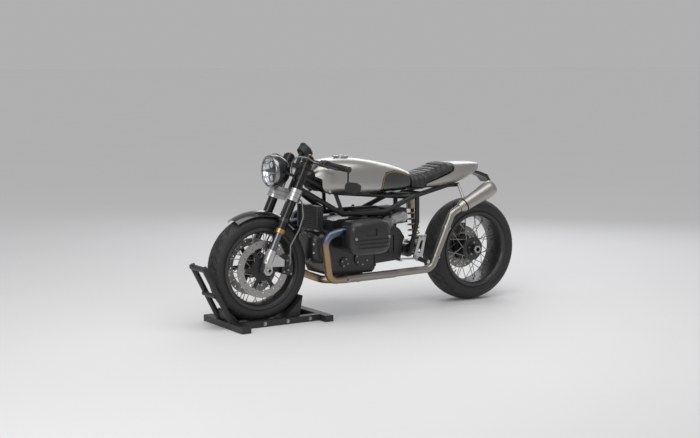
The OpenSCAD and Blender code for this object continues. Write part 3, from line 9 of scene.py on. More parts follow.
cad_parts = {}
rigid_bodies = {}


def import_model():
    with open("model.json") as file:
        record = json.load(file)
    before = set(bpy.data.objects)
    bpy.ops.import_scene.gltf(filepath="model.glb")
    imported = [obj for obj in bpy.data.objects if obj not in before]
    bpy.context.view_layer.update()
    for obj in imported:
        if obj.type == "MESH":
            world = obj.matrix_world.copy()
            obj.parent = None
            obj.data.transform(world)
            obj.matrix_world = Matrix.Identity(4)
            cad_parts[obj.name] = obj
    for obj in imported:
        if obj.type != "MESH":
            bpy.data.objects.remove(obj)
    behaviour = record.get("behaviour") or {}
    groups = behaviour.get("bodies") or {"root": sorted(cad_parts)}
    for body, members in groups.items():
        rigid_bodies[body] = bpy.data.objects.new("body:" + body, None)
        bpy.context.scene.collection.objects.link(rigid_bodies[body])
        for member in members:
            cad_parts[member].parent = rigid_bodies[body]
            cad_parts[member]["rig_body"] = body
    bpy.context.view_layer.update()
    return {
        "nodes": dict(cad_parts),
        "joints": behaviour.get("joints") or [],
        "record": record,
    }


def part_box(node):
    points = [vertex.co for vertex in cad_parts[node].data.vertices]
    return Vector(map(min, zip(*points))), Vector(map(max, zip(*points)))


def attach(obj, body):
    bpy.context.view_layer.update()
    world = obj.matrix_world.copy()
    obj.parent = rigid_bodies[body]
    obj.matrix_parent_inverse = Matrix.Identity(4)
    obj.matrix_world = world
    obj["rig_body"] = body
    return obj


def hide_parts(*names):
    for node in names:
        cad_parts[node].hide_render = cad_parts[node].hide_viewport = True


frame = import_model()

bl_info = {
    "name": "Cafe racer dressing",
    "version": (1, 0, 0),
    "blender": (4, 5, 0),
    "location": "View3D > Sidebar > Racer",
    "description": "Finishes, trim and stage for a flat-twin cafe racer",
    "category": "Object",
}

NODES = frame["nodes"]
X_AXIS = Vector((1, 0, 0))
Y_AXIS = Vector((0, 1, 0))
Z_AXIS = Vector((0, 0, 1))


def middle(node):
    """The centre of a CAD node's box."""
    low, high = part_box(node)
    return (low + high) / 2


FRONT_AXLE = middle("front_tyre")
REAR_AXLE = middle("rear_tyre")
STEER_UP = Vector(next(j["axis"] for j in frame["joints"] if j["name"] == "steering_head"))
STEER_OUT = Y_AXIS.cross(STEER_UP)


# Shader values and finishes

class Value:
    """A node's output; an expression on numbers adds the Math nodes that it needs."""

    def __init__(self, tree, socket):
        self.tree = tree
        self.socket = socket

    def reckon(self, operation, other, swapped=False):
        node = self.tree.nodes.new("ShaderNodeMath")
        node.operation = operation
        terms = (other, self) if swapped else (self, other)
        for place, term in zip(node.inputs, terms):
            if isinstance(term, Value):
                self.tree.links.new(term.socket, place)
            else:
                place.default_value = term
        return Value(self.tree, node.outputs[0])

    def __add__(self, other):
        return self.reckon("ADD", other)

    def __sub__(self, other):
        return self.reckon("SUBTRACT", other)

    def __rsub__(self, other):
        return self.reckon("SUBTRACT", other, swapped=True)

    def __mul__(self, other):
        return self.reckon("MULTIPLY", other)

    def __pow__(self, other):
        return self.reckon("POWER", other)

    def __gt__(self, other):
        return self.reckon("GREATER_THAN", other)

    def __lt__(self, other):
        return self.reckon("LESS_THAN", other)

    __radd__ = __add__


FINISH_END = "_finish"


class Finish:
    """A material whose nodes all come from one method, apart from the sums of values."""

    def __init__(self, name):
        self.material = bpy.data.materials.new(name + FINISH_END)
        self.material.use_nodes = True
        self.tree = self.material.node_tree
        self.shader = self.tree.nodes["Principled BSDF"]
        self.place = self.node("ShaderNodeTexCoord", out="Object")

    def node(self, kind, settings=None, sockets=None, out=0):
        made = self.tree.nodes.new(kind)
        for key, value in (settings or {}).items():
            setattr(made, key, value)
        for key, value in (sockets or {}).items():
            self.feed(made.inputs[key], value)
        return Value(self.tree, made.outputs[out])

    def feed(self, socket, value):
        if isinstance(value, Value):
            self.tree.links.new(value.socket, socket)
        elif socket.type == "RGBA" and len(value) == 3:
            socket.default_value = (*value, 1)
        else:
            socket.default_value = value

    def surface(self, **sockets):
        for key, value in sockets.items():
            self.feed(self.shader.inputs[key.replace("_", " ")], value)
        return self.material

    def stretched(self, scale):
        return self.node("ShaderNodeMapping", {"vector_type": "TEXTURE"}, {
            "Vector": self.place, "Scale": scale})

    def noise(self, scale, detail=3, where=None, rough=0.55):
        return self.node("ShaderNodeTexNoise", None, {
            "Vector": where or self.place, "Scale": scale, "Detail": detail, "Roughness": rough})

    def grain(self, scale):
        return self.node("ShaderNodeTexVoronoi", None, {"Vector": self.place, "Scale": scale})

    def mix(self, factor, first, second):
        return self.node("ShaderNodeMix", {"data_type": "RGBA"}, {0: factor, 6: first, 7: second}, out=2)

    def ramp(self, value, low, high):
        return self.node("ShaderNodeMapRange", {"interpolation_type": "SMOOTHSTEP"}, {
            "Value": value, "From Min": low, "From Max": high})

    def axis(self, letter):
        return self.node("ShaderNodeSeparateXYZ", None, {"Vector": self.place}, out=letter)

    def round_axle(self, centre):
        """Distance from a line along Y through a centre."""
        x = self.axis("X") - centre.x
        z = self.axis("Z") - centre.z
        return (x * x + z * z) ** 0.5

    def bump(self, height, distance, strength=1.0):
        return self.node("ShaderNodeBump", None, {
            "Height": height, "Distance": distance, "Strength": strength})


# Lines per metre, as the angle of a sine and as the scale of a noise
SIDEWALL_LINES = 2600.0
TURNED_LINES = 2400.0
# Distance from the damper's line at which its coil starts
COIL_FROM = 0.02
# How much a distance along X counts square to the damper, which leans
LEAN_SHARE = 0.94


def black_coat(name, base, rough, wear=0.0, peel=0.00004):
    """Black paint or powder coat: a faint orange peel, dull patches and, where asked, scuffs."""
    f = Finish(name)
    patch = f.noise(scale=9, detail=4)
    peel_height = f.noise(scale=420, detail=2)
    rubbed = f.noise(scale=60, detail=6, where=f.stretched((1, 1, 0.35)), rough=0.75)
    scuff = f.ramp(rubbed, low=0.64, high=0.72) * wear
    colour = f.mix(scuff, f.mix(patch, base, [c * 1.7 for c in base]), (0.09, 0.088, 0.085))
    return f.surface(
        Base_Color=colour, Roughness=rough * 0.75 + patch * rough * 0.5 + scuff * 0.2,
        Normal=f.bump(peel_height, peel), Specular_IOR_Level=0.5)


def cast_black(name, base, rough=0.35):
    """Satin black over cast alloy: fine sand grain and faint dust under a thin clear coat."""
    f = Finish(name)
    sand = f.noise(scale=1500, detail=2)
    pit = f.grain(scale=620)
    dust = f.ramp(f.noise(scale=14, detail=5), low=0.45, high=0.8)
    colour = f.mix(dust * 0.5, base, [c * 2.1 for c in base])
    return f.surface(
        Base_Color=colour, Metallic=0.35, Roughness=rough + dust * 0.14 + sand * 0.06,
        Normal=f.bump(sand * 0.6 + pit * 0.4, distance=0.0001, strength=0.4),
        Coat_Weight=0.45, Coat_Roughness=0.2)


def bare_metal(name, base, rough, line_scale, spread=0.12, metallic=1.0):
    """Machined or brushed metal whose lines run along the longest of the three scales."""
    f = Finish(name)
    lines = f.noise(scale=220, detail=4, where=f.stretched(line_scale), rough=0.7)
    cloud = f.noise(scale=7, detail=4)
    bright = f.mix(cloud, [c * 0.86 for c in base], base)
    colour = f.mix(lines * 0.35, bright, [c * 0.62 for c in base])
    return f.surface(
        Base_Color=colour, Metallic=metallic, Roughness=rough - spread / 2 + lines * spread + cloud * 0.08,
        Normal=f.bump(lines, distance=0.00003, strength=0.5))


def grooved_alloy(name, foot, way, heights):
    """Machined alloy with turned grooves at given heights along a direction, with painted shade inside the
    grooves.
    """
    f = Finish(name)
    lines = f.noise(scale=220, detail=4, where=f.stretched((1, 1, 9)), rough=0.7)
    cloud = f.noise(scale=7, detail=4)
    shift = f.node("ShaderNodeVectorMath", {"operation": "SUBTRACT"}, {0: f.place, 1: foot})
    up = f.node("ShaderNodeVectorMath", {"operation": "DOT_PRODUCT"}, {0: shift, 1: way}, out="Value")
    groove_and_shade = None
    for height in heights:
        away = f.node("ShaderNodeMath", {"operation": "ABSOLUTE"}, {0: up - height})
        line = f.ramp(away, low=0.0016, high=0.0008)
        groove_and_shade = line if groove_and_shade is None else groove_and_shade + line
    bright = f.mix(cloud, (0.53, 0.53, 0.525), (0.62, 0.62, 0.615))
    brushed = f.mix(lines * 0.3, bright, (0.36, 0.36, 0.355))
    # The grooves' near-black colour is painted shade; the bump gives their shape and the roughness their
    # wear.
    return f.surface(
        Base_Color=f.mix(groove_and_shade * 0.85, brushed, (0.05, 0.05, 0.05)), Metallic=1.0,
        Roughness=0.25 + lines * 0.1 + groove_and_shade * 0.2,
        Normal=f.bump(lines * 0.02 - groove_and_shade, distance=0.0006, strength=0.7))


def cast_silver(name):
    """Satin cast aluminium with sand grain and a little grime."""
    f = Finish(name)
    sand = f.noise(scale=1300, detail=2)
    grime = f.ramp(f.noise(scale=30, detail=5), low=0.5, high=0.75)
    colour = f.mix(grime * 0.6, (0.46, 0.46, 0.465), (0.19, 0.185, 0.175))
    return f.surface(
        Base_Color=colour, Metallic=0.92, Roughness=0.36 + grime * 0.2,
        Normal=f.bump(sand, distance=0.00009, strength=0.5))


def moulded_plastic(name, base, rough=0.5):
    """Moulded plastic with a fine spark-eroded texture."""
    f = Finish(name)
    spark = f.grain(scale=900)
    patch = f.noise(scale=11, detail=3)
    return f.surface(
        Base_Color=f.mix(patch, base, [c * 1.6 for c in base]), Roughness=rough + patch * 0.12,
        Normal=f.bump(spark, distance=0.00008, strength=0.5))


def tinted_steel(name):
    """Brushed exhaust steel, blued at the ports, then straw and brown round the low bend."""
    f = Finish(name)
    lines = f.noise(scale=260, detail=3, where=f.stretched((0.25, 1, 0.25)), rough=0.7)
    cloud = f.noise(scale=9, detail=4)
    x = f.axis("X")
    z = f.axis("Z")
    heat = f.ramp(x + cloud * 0.09, low=0.16, high=0.46)
    blue = f.ramp(z + cloud * 0.06, low=0.44, high=0.52) * f.ramp(x, low=0.2, high=0.3)
    tail = f.ramp(x, low=-0.42, high=-0.62)
    plain = f.mix(cloud, (0.31, 0.285, 0.255), (0.42, 0.4, 0.37))
    warm = f.mix(heat, plain, (0.4, 0.27, 0.15))
    cool = f.mix(blue, warm, (0.115, 0.155, 0.23))
    pale = f.mix(tail * 0.75, cool, (0.49, 0.48, 0.455))
    colour = f.mix(lines * 0.3, pale, (0.15, 0.135, 0.12))
    return f.surface(
        Base_Color=colour, Metallic=1.0, Roughness=0.24 + lines * 0.12 + cloud * 0.1,
        Normal=f.bump(lines, distance=0.00003, strength=0.5))


def brushed_aluminium(name):
    """Bare panels brushed along the machine, warm grey, with hand marks under a clear coat."""
    f = Finish(name)
    brush = f.noise(scale=330, detail=5, where=f.stretched((14, 1, 1)), rough=0.72)
    fine = f.noise(scale=900, detail=2, where=f.stretched((20, 1, 1)))
    cloud = f.noise(scale=5, detail=5)
    smear = f.ramp(f.noise(scale=18, detail=6), low=0.48, high=0.74)
    base = f.mix(cloud, (0.42, 0.408, 0.385), (0.53, 0.518, 0.492))
    colour = f.mix(brush * 0.45, base, (0.27, 0.262, 0.248))
    return f.surface(
        Base_Color=colour, Metallic=1.0, Roughness=0.29 + brush * 0.1 + smear * 0.07,
        Coat_Weight=0.25, Coat_Roughness=0.22,
        Normal=f.bump(brush * 0.7 + fine * 0.3, distance=0.00003, strength=0.6))


def gloss_black(name):
    """Deep gloss black paint under lacquer, with a faint haze of polish marks."""
    f = Finish(name)
    haze = f.noise(scale=16, detail=5)
    peel = f.noise(scale=300, detail=2)
    return f.surface(
        Base_Color=f.mix(haze, (0.004, 0.004, 0.0045), (0.009, 0.009, 0.01)), Roughness=0.2 + haze * 0.12,
        Coat_Weight=1.0, Coat_Roughness=0.05, Normal=f.bump(peel, distance=0.00002, strength=0.4))


def rubbed_leather(name):
    """Black leather: pebbled grain, creases and a shine where it is rubbed."""
    f = Finish(name)
    pebble = f.grain(scale=360)
    crease = f.noise(scale=120, detail=5, where=f.stretched((1, 2.2, 1)), rough=0.65)
    rub = f.ramp(f.noise(scale=13, detail=4), low=0.42, high=0.72)
    return f.surface(
        Base_Color=f.mix(rub, (0.015, 0.015, 0.016), (0.034, 0.033, 0.033)),
        Roughness=0.42 - rub * 0.12 + pebble * 0.12,
        Normal=f.bump(pebble * 0.7 + crease * 0.5, distance=0.00035, strength=0.6))


def lamp_housing(name):
    """Black tail lamp housing with fine ribs."""
    f = Finish(name)
    rib = f.node("ShaderNodeTexWave", {"wave_type": "BANDS", "bands_direction": "Z"}, {
        "Vector": f.place, "Scale": 90.0, "Distortion": 0.0}, out="Fac")
    speck = f.noise(scale=200, detail=2)
    return f.surface(
        Base_Color=f.mix(speck, (0.012, 0.011, 0.011), (0.028, 0.02, 0.02)), Roughness=0.3 + speck * 0.15,
        Normal=f.bump(rib, distance=0.00006, strength=0.3))


def tyre_rubber(name, centre, rim, tread):
    """Black rubber: turned lines on the sidewalls, and a dusty, worn crown."""
    f = Finish(name)
    out = f.round_axle(centre)
    lines = f.node("ShaderNodeMath", {"operation": "SINE"}, {0: out * SIDEWALL_LINES})
    crown = f.ramp(out, rim, tread)
    dust = f.ramp(f.noise(scale=46, detail=6), low=0.4, high=0.78)
    fine = f.noise(scale=900, detail=2)
    colour = f.mix(dust * crown, (0.014, 0.014, 0.0145), (0.05, 0.049, 0.048))
    return f.surface(
        Base_Color=colour, Roughness=0.52 + dust * 0.16 + crown * 0.1,
        Normal=f.bump(fine * 0.6 + lines * 0.2 * (1 - crown), distance=0.0002, strength=0.5))


def ground_disc(name, centre, inner):
    """Ground steel with turned lines on the braking band and a black carrier within it."""
    f = Finish(name)
    out = f.round_axle(centre)
    rings = f.node("ShaderNodeCombineXYZ", None, {"X": out * TURNED_LINES})
    lines = f.noise(scale=1, detail=2, where=rings)
    band = out > inner
    cloud = f.noise(scale=22, detail=4)
    steel = f.mix(lines, (0.3, 0.295, 0.285), (0.47, 0.465, 0.45))
    worn = f.mix(cloud * 0.5, steel, (0.25, 0.235, 0.215))
    return f.surface(
        Base_Color=f.mix(band, (0.022, 0.022, 0.024), worn), Metallic=0.3 + band * 0.7,
        Roughness=0.42 - band * 0.12 + lines * 0.1,
        Normal=f.bump(lines * band, distance=0.00004, strength=0.6))


def wire_wheel(name, centre, hub, rim):
    """Gloss black rim and hub, with drawn steel spokes between them."""
    f = Finish(name)
    out = f.round_axle(centre)
    spoke = (out > hub) * (out < rim)
    haze = f.noise(scale=24, detail=4)
    black = f.mix(haze, (0.012, 0.012, 0.0125), (0.024, 0.024, 0.025))
    steel = f.mix(haze, (0.34, 0.335, 0.32), (0.46, 0.455, 0.44))
    return f.surface(
        Base_Color=f.mix(spoke, black, steel), Metallic=spoke * 0.95,
        Roughness=0.34 + haze * 0.12 - spoke * 0.1, Coat_Weight=(1 - spoke) * 0.3, Coat_Roughness=0.15,
        Normal=f.bump(f.noise(scale=500, detail=2), distance=0.00002, strength=0.4))


def braided_hose(name):
    """Steel braid under a clear sleeve."""
    f = Finish(name)
    over = f.node("ShaderNodeTexWave", {"bands_direction": "DIAGONAL"}, {
        "Vector": f.place, "Scale": 260.0}, out="Fac")
    under = f.node("ShaderNodeTexWave", {"bands_direction": "DIAGONAL"}, {
        "Vector": f.stretched((1, -1, 1)), "Scale": 260.0}, out="Fac")
    weave = over * 0.5 + under * 0.5
    return f.surface(
        Base_Color=f.mix(weave, (0.1, 0.1, 0.105), (0.36, 0.36, 0.37)), Metallic=0.7,
        Roughness=0.34 + weave * 0.12, Normal=f.bump(weave, distance=0.0003, strength=0.6))


def clear_glass(name, tint):
    """Clear lamp glass with faint moulded lines."""
    f = Finish(name)
    lines = f.noise(scale=60, detail=2)
    return f.surface(
        Base_Color=tint, Transmission_Weight=1.0, IOR=1.46, Roughness=0.02 + lines * 0.02,
        Normal=f.bump(lines, distance=0.00002, strength=0.3))


def spring_coat(name, centre):
    """Pale zinc coil over a black damper, told apart by the distance from the damper's line."""
    f = Finish(name)
    x = f.axis("X") - centre.x
    y = f.axis("Y")
    patch = f.noise(scale=30, detail=4)
    coil = (x * x * LEAN_SHARE + y * y) ** 0.5 > COIL_FROM
    zinc = f.mix(patch, (0.4, 0.36, 0.25), (0.52, 0.48, 0.36))
    return f.surface(
        Base_Color=f.mix(coil, (0.02, 0.02, 0.021), zinc), Metallic=coil * 0.8,
        Roughness=0.3 + patch * 0.14,
        Normal=f.bump(f.noise(scale=400, detail=2), distance=0.00003, strength=0.4))


# Modelling by operators

# Points nearer than this are one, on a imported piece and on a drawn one
PACKED_WELD = 0.00001
DRAWN_WELD = 0.000002


def free_hands():
    """Leaves edit mode and deselects all objects."""
    if bpy.context.object and bpy.context.object.mode != "OBJECT":
        bpy.ops.object.mode_set(mode="OBJECT")
    bpy.ops.object.select_all(action="DESELECT")


def pick(*objects):
    """Selects these objects alone, the first one active."""
    free_hands()
    for obj in objects:
        obj.select_set(True)
    bpy.context.view_layer.objects.active = objects[0]


def hold(obj):
    """Puts an object's place, turn and size into its mesh."""
    pick(obj)
    bpy.ops.object.transform_apply(location=True, rotation=True, scale=True)


def settle(obj, name, look, body, slot):
    """Puts an object's place into its mesh, names it, and gives it its finish and its body; the slot is not
    used.
    """
    hold(obj)
    obj.name = name
    obj.data.name = name
    obj.data.materials.clear()
    obj.data.materials.append(look)
    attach(obj, body)
    return obj


def smooth(obj, degrees):
    """Shades an object smooth, with sharp edges where its faces meet at more than an angle."""
    pick(obj)
    bpy.ops.object.shade_smooth_by_angle(angle=math.radians(degrees))


def modify(obj, kind, **settings):
    """Adds a modifier, sets it and applies it."""
    pick(obj)
    modifier = obj.modifiers.new(kind.lower(), kind)
    for key, value in settings.items():
        setattr(modifier, key, value)
    bpy.ops.object.modifier_apply(modifier=modifier.name)


def merged_copy(node):
    """A copy of a CAD node with its loose triangles joined."""
    source = NODES[node]
    obj = bpy.data.objects.new(node + "_dressed", source.data.copy())
    bpy.context.scene.collection.objects.link(obj)
    pick(obj)
    bpy.ops.object.mode_set(mode="EDIT")
    bpy.ops.mesh.select_all(action="SELECT")
    bpy.ops.mesh.remove_doubles(threshold=PACKED_WELD)
    bpy.ops.object.mode_set(mode="OBJECT")
    bpy.ops.mesh.customdata_custom_splitnormals_clear()
    return obj


# Stage

class RacerLight(bpy.types.PropertyGroup):
    floor_colour: bpy.props.FloatVectorProperty(
        name="Floor", description="Colour of the plain floor", subtype="COLOR", size=3,
        default=(0.74, 0.74, 0.75))
    back_tone: bpy.props.FloatVectorProperty(
        name="Back", description="Tone of the background behind the floor", subtype="COLOR", size=3,
        default=(0.435, 0.435, 0.44))
    sky_power: bpy.props.FloatProperty(
        name="Sky", description="Strength of the soft light from all round", default=0.6)
    key_power: bpy.props.FloatProperty(
        name="Key", description="Power of the large soft lamp overhead", default=62.0, unit="POWER")
    side_power: bpy.props.FloatProperty(
        name="Side", description="Power of the soft lamp at the camera's side", default=46.0, unit="POWER")
    rim_power: bpy.props.FloatProperty(
        name="Rim", description="Power of the soft lamp behind", default=40.0, unit="POWER")
    lens: bpy.props.FloatProperty(
        name="Lens", description="Focal length of the camera", default=68.32, unit="CAMERA")
    eye: bpy.props.FloatVectorProperty(
        name="Eye", description="Place of the camera", subtype="XYZ", size=3, unit="LENGTH",
        default=(4.252, 6.443, 1.463))
    aim: bpy.props.FloatVectorProperty(
        name="Aim", description="Point in the middle of the picture", subtype="XYZ", size=3, unit="LENGTH",
        default=(0.095, 0.0, 0.549))


FLOOR_SPAN = 400
FLOOR_CUTS = 4
# Columns: name, property that holds its power, width and height, place, target, colour
LAMPS = [
    ("key", "key_power", (4.0, 2.4), (0.6, 0.9, 3.4), (0, 0, 0.5), (1, 0.99, 0.97)),
    ("side", "side_power", (2.6, 2.2), (3.8, 2.6, 2.2), (0.1, 0, 0.5), (1, 1, 1)),
    ("rim", "rim_power", (3.6, 1.6), (-2.8, -2.6, 2.4), (-0.1, 0, 0.6), (0.96, 0.98, 1)),
]


def aimed(obj, eye, target):
    """Puts an object at a place and turns it to look at a target."""
    obj.location = eye
    obj.rotation_euler = (Vector(target) - Vector(eye)).to_track_quat("-Z", "Y").to_euler()


def soft_lamp(name, power, size, eye, target, colour):
    lamp = bpy.data.lights.new(name, "AREA")
    lamp.energy = power
    lamp.shape = "RECTANGLE"
    lamp.size = size[0]
    lamp.size_y = size[1]
    lamp.color = colour
    obj = bpy.data.objects.new(name, lamp)
    bpy.context.scene.collection.objects.link(obj)
    aimed(obj, eye, target)


def floor_grey(name, tone):
    """Pale floor with faint clouds."""
    f = Finish(name)
    cloud = f.noise(scale=0.9, detail=6)
    fine = f.noise(scale=40, detail=4)
    return f.surface(
        Base_Color=f.mix(cloud, [c * 0.96 for c in tone], tone), Roughness=0.62 + fine * 0.1,
        Normal=f.bump(fine, distance=0.0002, strength=0.3))


def studio_world(scene, light):
    """White light from all round, which the camera and mirrors see as the background's tone."""
    world = bpy.data.worlds.new("studio")
    world.use_nodes = True
    scene.world = world
    tree = world.node_tree
    path = tree.nodes.new("ShaderNodeLightPath")
    back = tree.nodes["Background"]
    back.inputs["Color"].default_value = (1, 1, 1, 1)
    back.inputs["Strength"].default_value = light.sky_power
    seen = tree.nodes.new("ShaderNodeBackground")
    seen.inputs["Color"].default_value = (*light.back_tone, 1)
    looking = Value(tree, path.outputs["Is Camera Ray"]) + Value(tree, path.outputs["Is Glossy Ray"])
    looking = looking + Value(tree, path.outputs["Is Transmission Ray"])
    blend = tree.nodes.new("ShaderNodeMixShader")
    tree.links.new(looking.socket, blend.inputs[0])
    tree.links.new(back.outputs[0], blend.inputs[1])
    tree.links.new(seen.outputs[0], blend.inputs[2])
    tree.links.new(blend.outputs[0], tree.nodes["World Output"].inputs["Surface"])


class RACER_OT_stage(bpy.types.Operator):
    """Plain pale floor, soft lamps and the camera"""
    bl_idname = "racer.stage"
    bl_label = "Stage"

    def execute(self, context):
        light = context.scene.racer_light
        free_hands()
        bpy.ops.mesh.primitive_plane_add(size=FLOOR_SPAN, location=(0, 0, 0))
        floor = context.object
        bpy.ops.object.mode_set(mode="EDIT")
        bpy.ops.mesh.subdivide(number_cuts=FLOOR_CUTS)
        bpy.ops.object.mode_set(mode="OBJECT")
        floor.name = "floor"
        floor.data.materials.append(floor_grey("floor_grey", light.floor_colour))
        studio_world(context.scene, light)
        for name, power, size, eye, target, colour in LAMPS:
            soft_lamp(name, getattr(light, power), size, eye, target, colour)
        lens = bpy.data.cameras.new("camera")
        lens.lens = light.lens
        camera = bpy.data.objects.new("camera", lens)
        context.scene.collection.objects.link(camera)
        aimed(camera, light.eye, light.aim)
        context.scene.camera = camera
        context.scene.view_settings.view_transform = "Standard"
        return {"FINISHED"}


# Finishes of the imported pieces

# Heights of the lower clamp's grooves above the axle, along the fork
CLAMP_GROOVES = (0.431, 0.455)
# Radii between which each tyre's dust sets in, and between which each wheel has bare spokes
FRONT_DUST = (0.25, 0.285)
REAR_DUST = (0.258, 0.298)
FRONT_LACING = (0.06, 0.194)
REAR_LACING = (0.074, 0.194)
# Inner radius of each disc's braking band
FRONT_BAND = 0.119
REAR_BAND = 0.08
# Nodes that a modelled piece takes the place of
REMODELLED = ("seat", "front_tyre", "rear_tyre", "grips", "headlight_lens")
# Angle in degrees under which the faces of a node's smooth copy run together
SKIN_ANGLE = 35
SKIN_ANGLES = {
    "fuel_tank": 26, "knee_panels": 26, "tail_cowl": 30, "engine_front_cover": 30, "bar_end_mirrors": 40,
    "front_fender": 30, "brake_hoses": 60, "exhaust_pipes": 50, "rear_shock": 50, "intakes": 14,
    "frame": 20, "wheel_chock": 20, "headlight_shell": 50}


def node_finishes():
    """The finish of each CAD node."""
    frame_black = black_coat("frame_black", (0.009, 0.009, 0.01), rough=0.34)
    chock_black = black_coat("chock_black", (0.012, 0.012, 0.0125), rough=0.42, wear=0.8, peel=0.00008)
    engine_black = cast_black("engine_black", (0.018, 0.018, 0.0195))
    fork_black = black_coat("fork_black", (0.005, 0.005, 0.0055), rough=0.26, peel=0.000006)
    fork_gloss = black_coat("fork_gloss", (0.005, 0.005, 0.0055), rough=0.13, peel=0.000004)
    alloy = bare_metal("alloy_silver", (0.62, 0.62, 0.615), rough=0.3, line_scale=(1, 1, 9))
    steel = tinted_steel("exhaust_steel")
    aluminium = brushed_aluminium("body_aluminium")
    gloss = gloss_black("panel_black")
    plastic = moulded_plastic("plastic_black", (0.012, 0.012, 0.013))
    return {
        "frame": frame_black, "engine_block": engine_black, "engine_front_cover": engine_black,
        "cylinders": engine_black, "valve_covers": engine_black,
        "oil_cooler": cast_black("cooler_black", (0.022, 0.022, 0.024), rough=0.5),
        "intakes": cast_silver("intake_silver"), "airbox": plastic, "exhaust_pipes": steel,
        "muffler": steel, "fuel_tank": aluminium, "knee_panels": gloss,
        "seat": rubbed_leather("seat_leather"), "tail_cowl": aluminium,
        "tail_light": lamp_housing("lamp_red"), "swingarm": engine_black, "final_drive": engine_black,
        "rear_shock": spring_coat("spring_yellow", middle("rear_shock")), "rear_caliper": engine_black,
        "footrests": alloy, "filler_cap": alloy, "upper_clamp": fork_black,
        "lower_clamp": grooved_alloy("clamp_silver", FRONT_AXLE, STEER_UP, CLAMP_GROOVES),
        "fork_outer_tubes": fork_gloss,
        "fork_inner_tubes": bare_metal("fork_slider", (0.2, 0.2, 0.205), rough=0.18, line_scale=(1, 1, 14)),
        "fork_collars": bare_metal("collar_gold", (0.6, 0.37, 0.13), rough=0.26, line_scale=(6, 6, 1)),
        "fork_feet": alloy, "front_axle": alloy, "headlight_shell": fork_black,
        "headlight_lens": clear_glass("lamp_glass", (0.95, 0.97, 0.98)), "handlebars": fork_black,
        "grips": moulded_plastic("grip_rubber", (0.01, 0.01, 0.0105), rough=0.62), "hand_controls": plastic,
        "bar_end_mirrors": plastic, "gauge": plastic, "front_fender": gloss, "front_calipers": engine_black,
        "brake_hoses": braided_hose("hose_grey"), "wheel_chock": chock_black, "chock_cradle": chock_black,
        "front_tyre": tyre_rubber("front_tyre_rubber", FRONT_AXLE, *FRONT_DUST),
        "rear_tyre": tyre_rubber("rear_tyre_rubber", REAR_AXLE, *REAR_DUST),
        "front_wire_wheel": wire_wheel("front_wheel_black", FRONT_AXLE, *FRONT_LACING),
        "rear_wire_wheel": wire_wheel("rear_wheel_black", REAR_AXLE, *REAR_LACING),
        "front_discs": ground_disc("front_disc_steel", FRONT_AXLE, FRONT_BAND),
        "rear_disc": ground_disc("rear_disc_steel", REAR_AXLE, REAR_BAND),
    }


def extra_finishes():
    """Finishes that only the added pieces wear."""
    even = (1, 1, 1)
    bare_metal("lamp_chrome", (0.3, 0.3, 0.305), rough=0.13, line_scale=even, spread=0.06)
    bare_metal("lamp_mirror", (0.8, 0.81, 0.82), rough=0.07, line_scale=even, spread=0.03)
    bare_metal("screw_steel", (0.46, 0.455, 0.44), rough=0.27, line_scale=even)
    bare_metal("stripe_gold", (0.62, 0.41, 0.13), rough=0.34, line_scale=even, spread=0.1, metallic=0.7)
    black_coat("lamp_shield", (0.01, 0.01, 0.011), rough=0.3)
    moulded_plastic("lamp_bulb", (0.78, 0.8, 0.82), rough=0.12)
    moulded_plastic("dial_black", (0.008, 0.008, 0.0085), rough=0.5)
    moulded_plastic("dial_white", (0.62, 0.62, 0.6), rough=0.5)
    moulded_plastic("button_red", (0.3, 0.014, 0.01), rough=0.34)
    moulded_plastic("button_grey", (0.12, 0.12, 0.125), rough=0.4)
    moulded_plastic("lens_red", (0.2, 0.006, 0.006), rough=0.16)


def finish(name):
    return bpy.data.materials[name + FINISH_END]


def slot_of(node):
    """The material slot that the record gives a CAD node."""
    for row in frame["record"]["subparts"]:
        if row["node"] == node:
            return row["material_slot"]
    raise RuntimeError("no slot for " + node)


def body_of(node):
    return NODES[node]["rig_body"]


class RACER_OT_finishes(bpy.types.Operator):
    """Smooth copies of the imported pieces, in their finishes"""
    bl_idname = "racer.finishes"
    bl_label = "Finishes"

    def execute(self, context):
        finishes = node_finishes()
        extra_finishes()
        for node in sorted(set(finishes) - set(REMODELLED)):
            obj = merged_copy(node)
            smooth(obj, SKIN_ANGLES.get(node, SKIN_ANGLE))
            modify(obj, "WEIGHTED_NORMAL", keep_sharp=True)
            settle(obj, node + "_skin", finishes[node], body_of(node), slot_of(node))
            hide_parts(node)
        return {"FINISHED"}


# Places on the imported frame

SIDES = ((-1, "right"), (1, "left"))
# A place well outside the machine, from which lines are sent to find a surface
FAR = 0.9
# The fork's legs and handlebars, in the frame of the fork
LEG_LEAD = 0.012
LEG_HALF = 0.105
BAR_ROOT = 0.6544
BAR_SWEEP = math.radians(22)
BAR_DROP = math.radians(8)
# Directions nearer to each other than this cosine count as one
SAME_WAY = 0.95
TREES = {}


def fork_point(out, across, up):
    """A point in the fork's own frame, whose origin is the front axle."""
    return FRONT_AXLE + STEER_OUT * out + Y_AXIS * across + STEER_UP * up


def bar_frame(side):
    """The frame of one handlebar: Z out along the bar, X down and Y square to both."""
    turn = Matrix.Rotation(side * (math.pi / 2 + BAR_SWEEP), 4, "Z")
    drop = Matrix.Rotation(math.pi / 2 + BAR_DROP, 4, "Y")
    return Matrix.Translation(fork_point(LEG_LEAD, side * LEG_HALF, BAR_ROOT)) @ turn @ drop


def side_box(node, side):
    """Lowest and highest corner of the half of a CAD node that lies on one side."""
    points = [v.co for v in NODES[node].data.vertices if v.co.y * side > 0]
    low = Vector(min(p[i] for p in points) for i in range(3))
    high = Vector(max(p[i] for p in points) for i in range(3))
    return low, high


def landing(node, start, way):
    """Where a straight line first meets a CAD node, and the surface's normal there."""
    if node not in TREES:
        mesh = NODES[node].data
        corners = [v.co for v in mesh.vertices]
        TREES[node] = BVHTree.FromPolygons(corners, [list(f.vertices) for f in mesh.polygons])
    point, normal = TREES[node].ray_cast(Vector(start), Vector(way).normalized())[:2]
    if point is None:
        raise RuntimeError("nothing of " + node + " lies that way")
    return point, normal


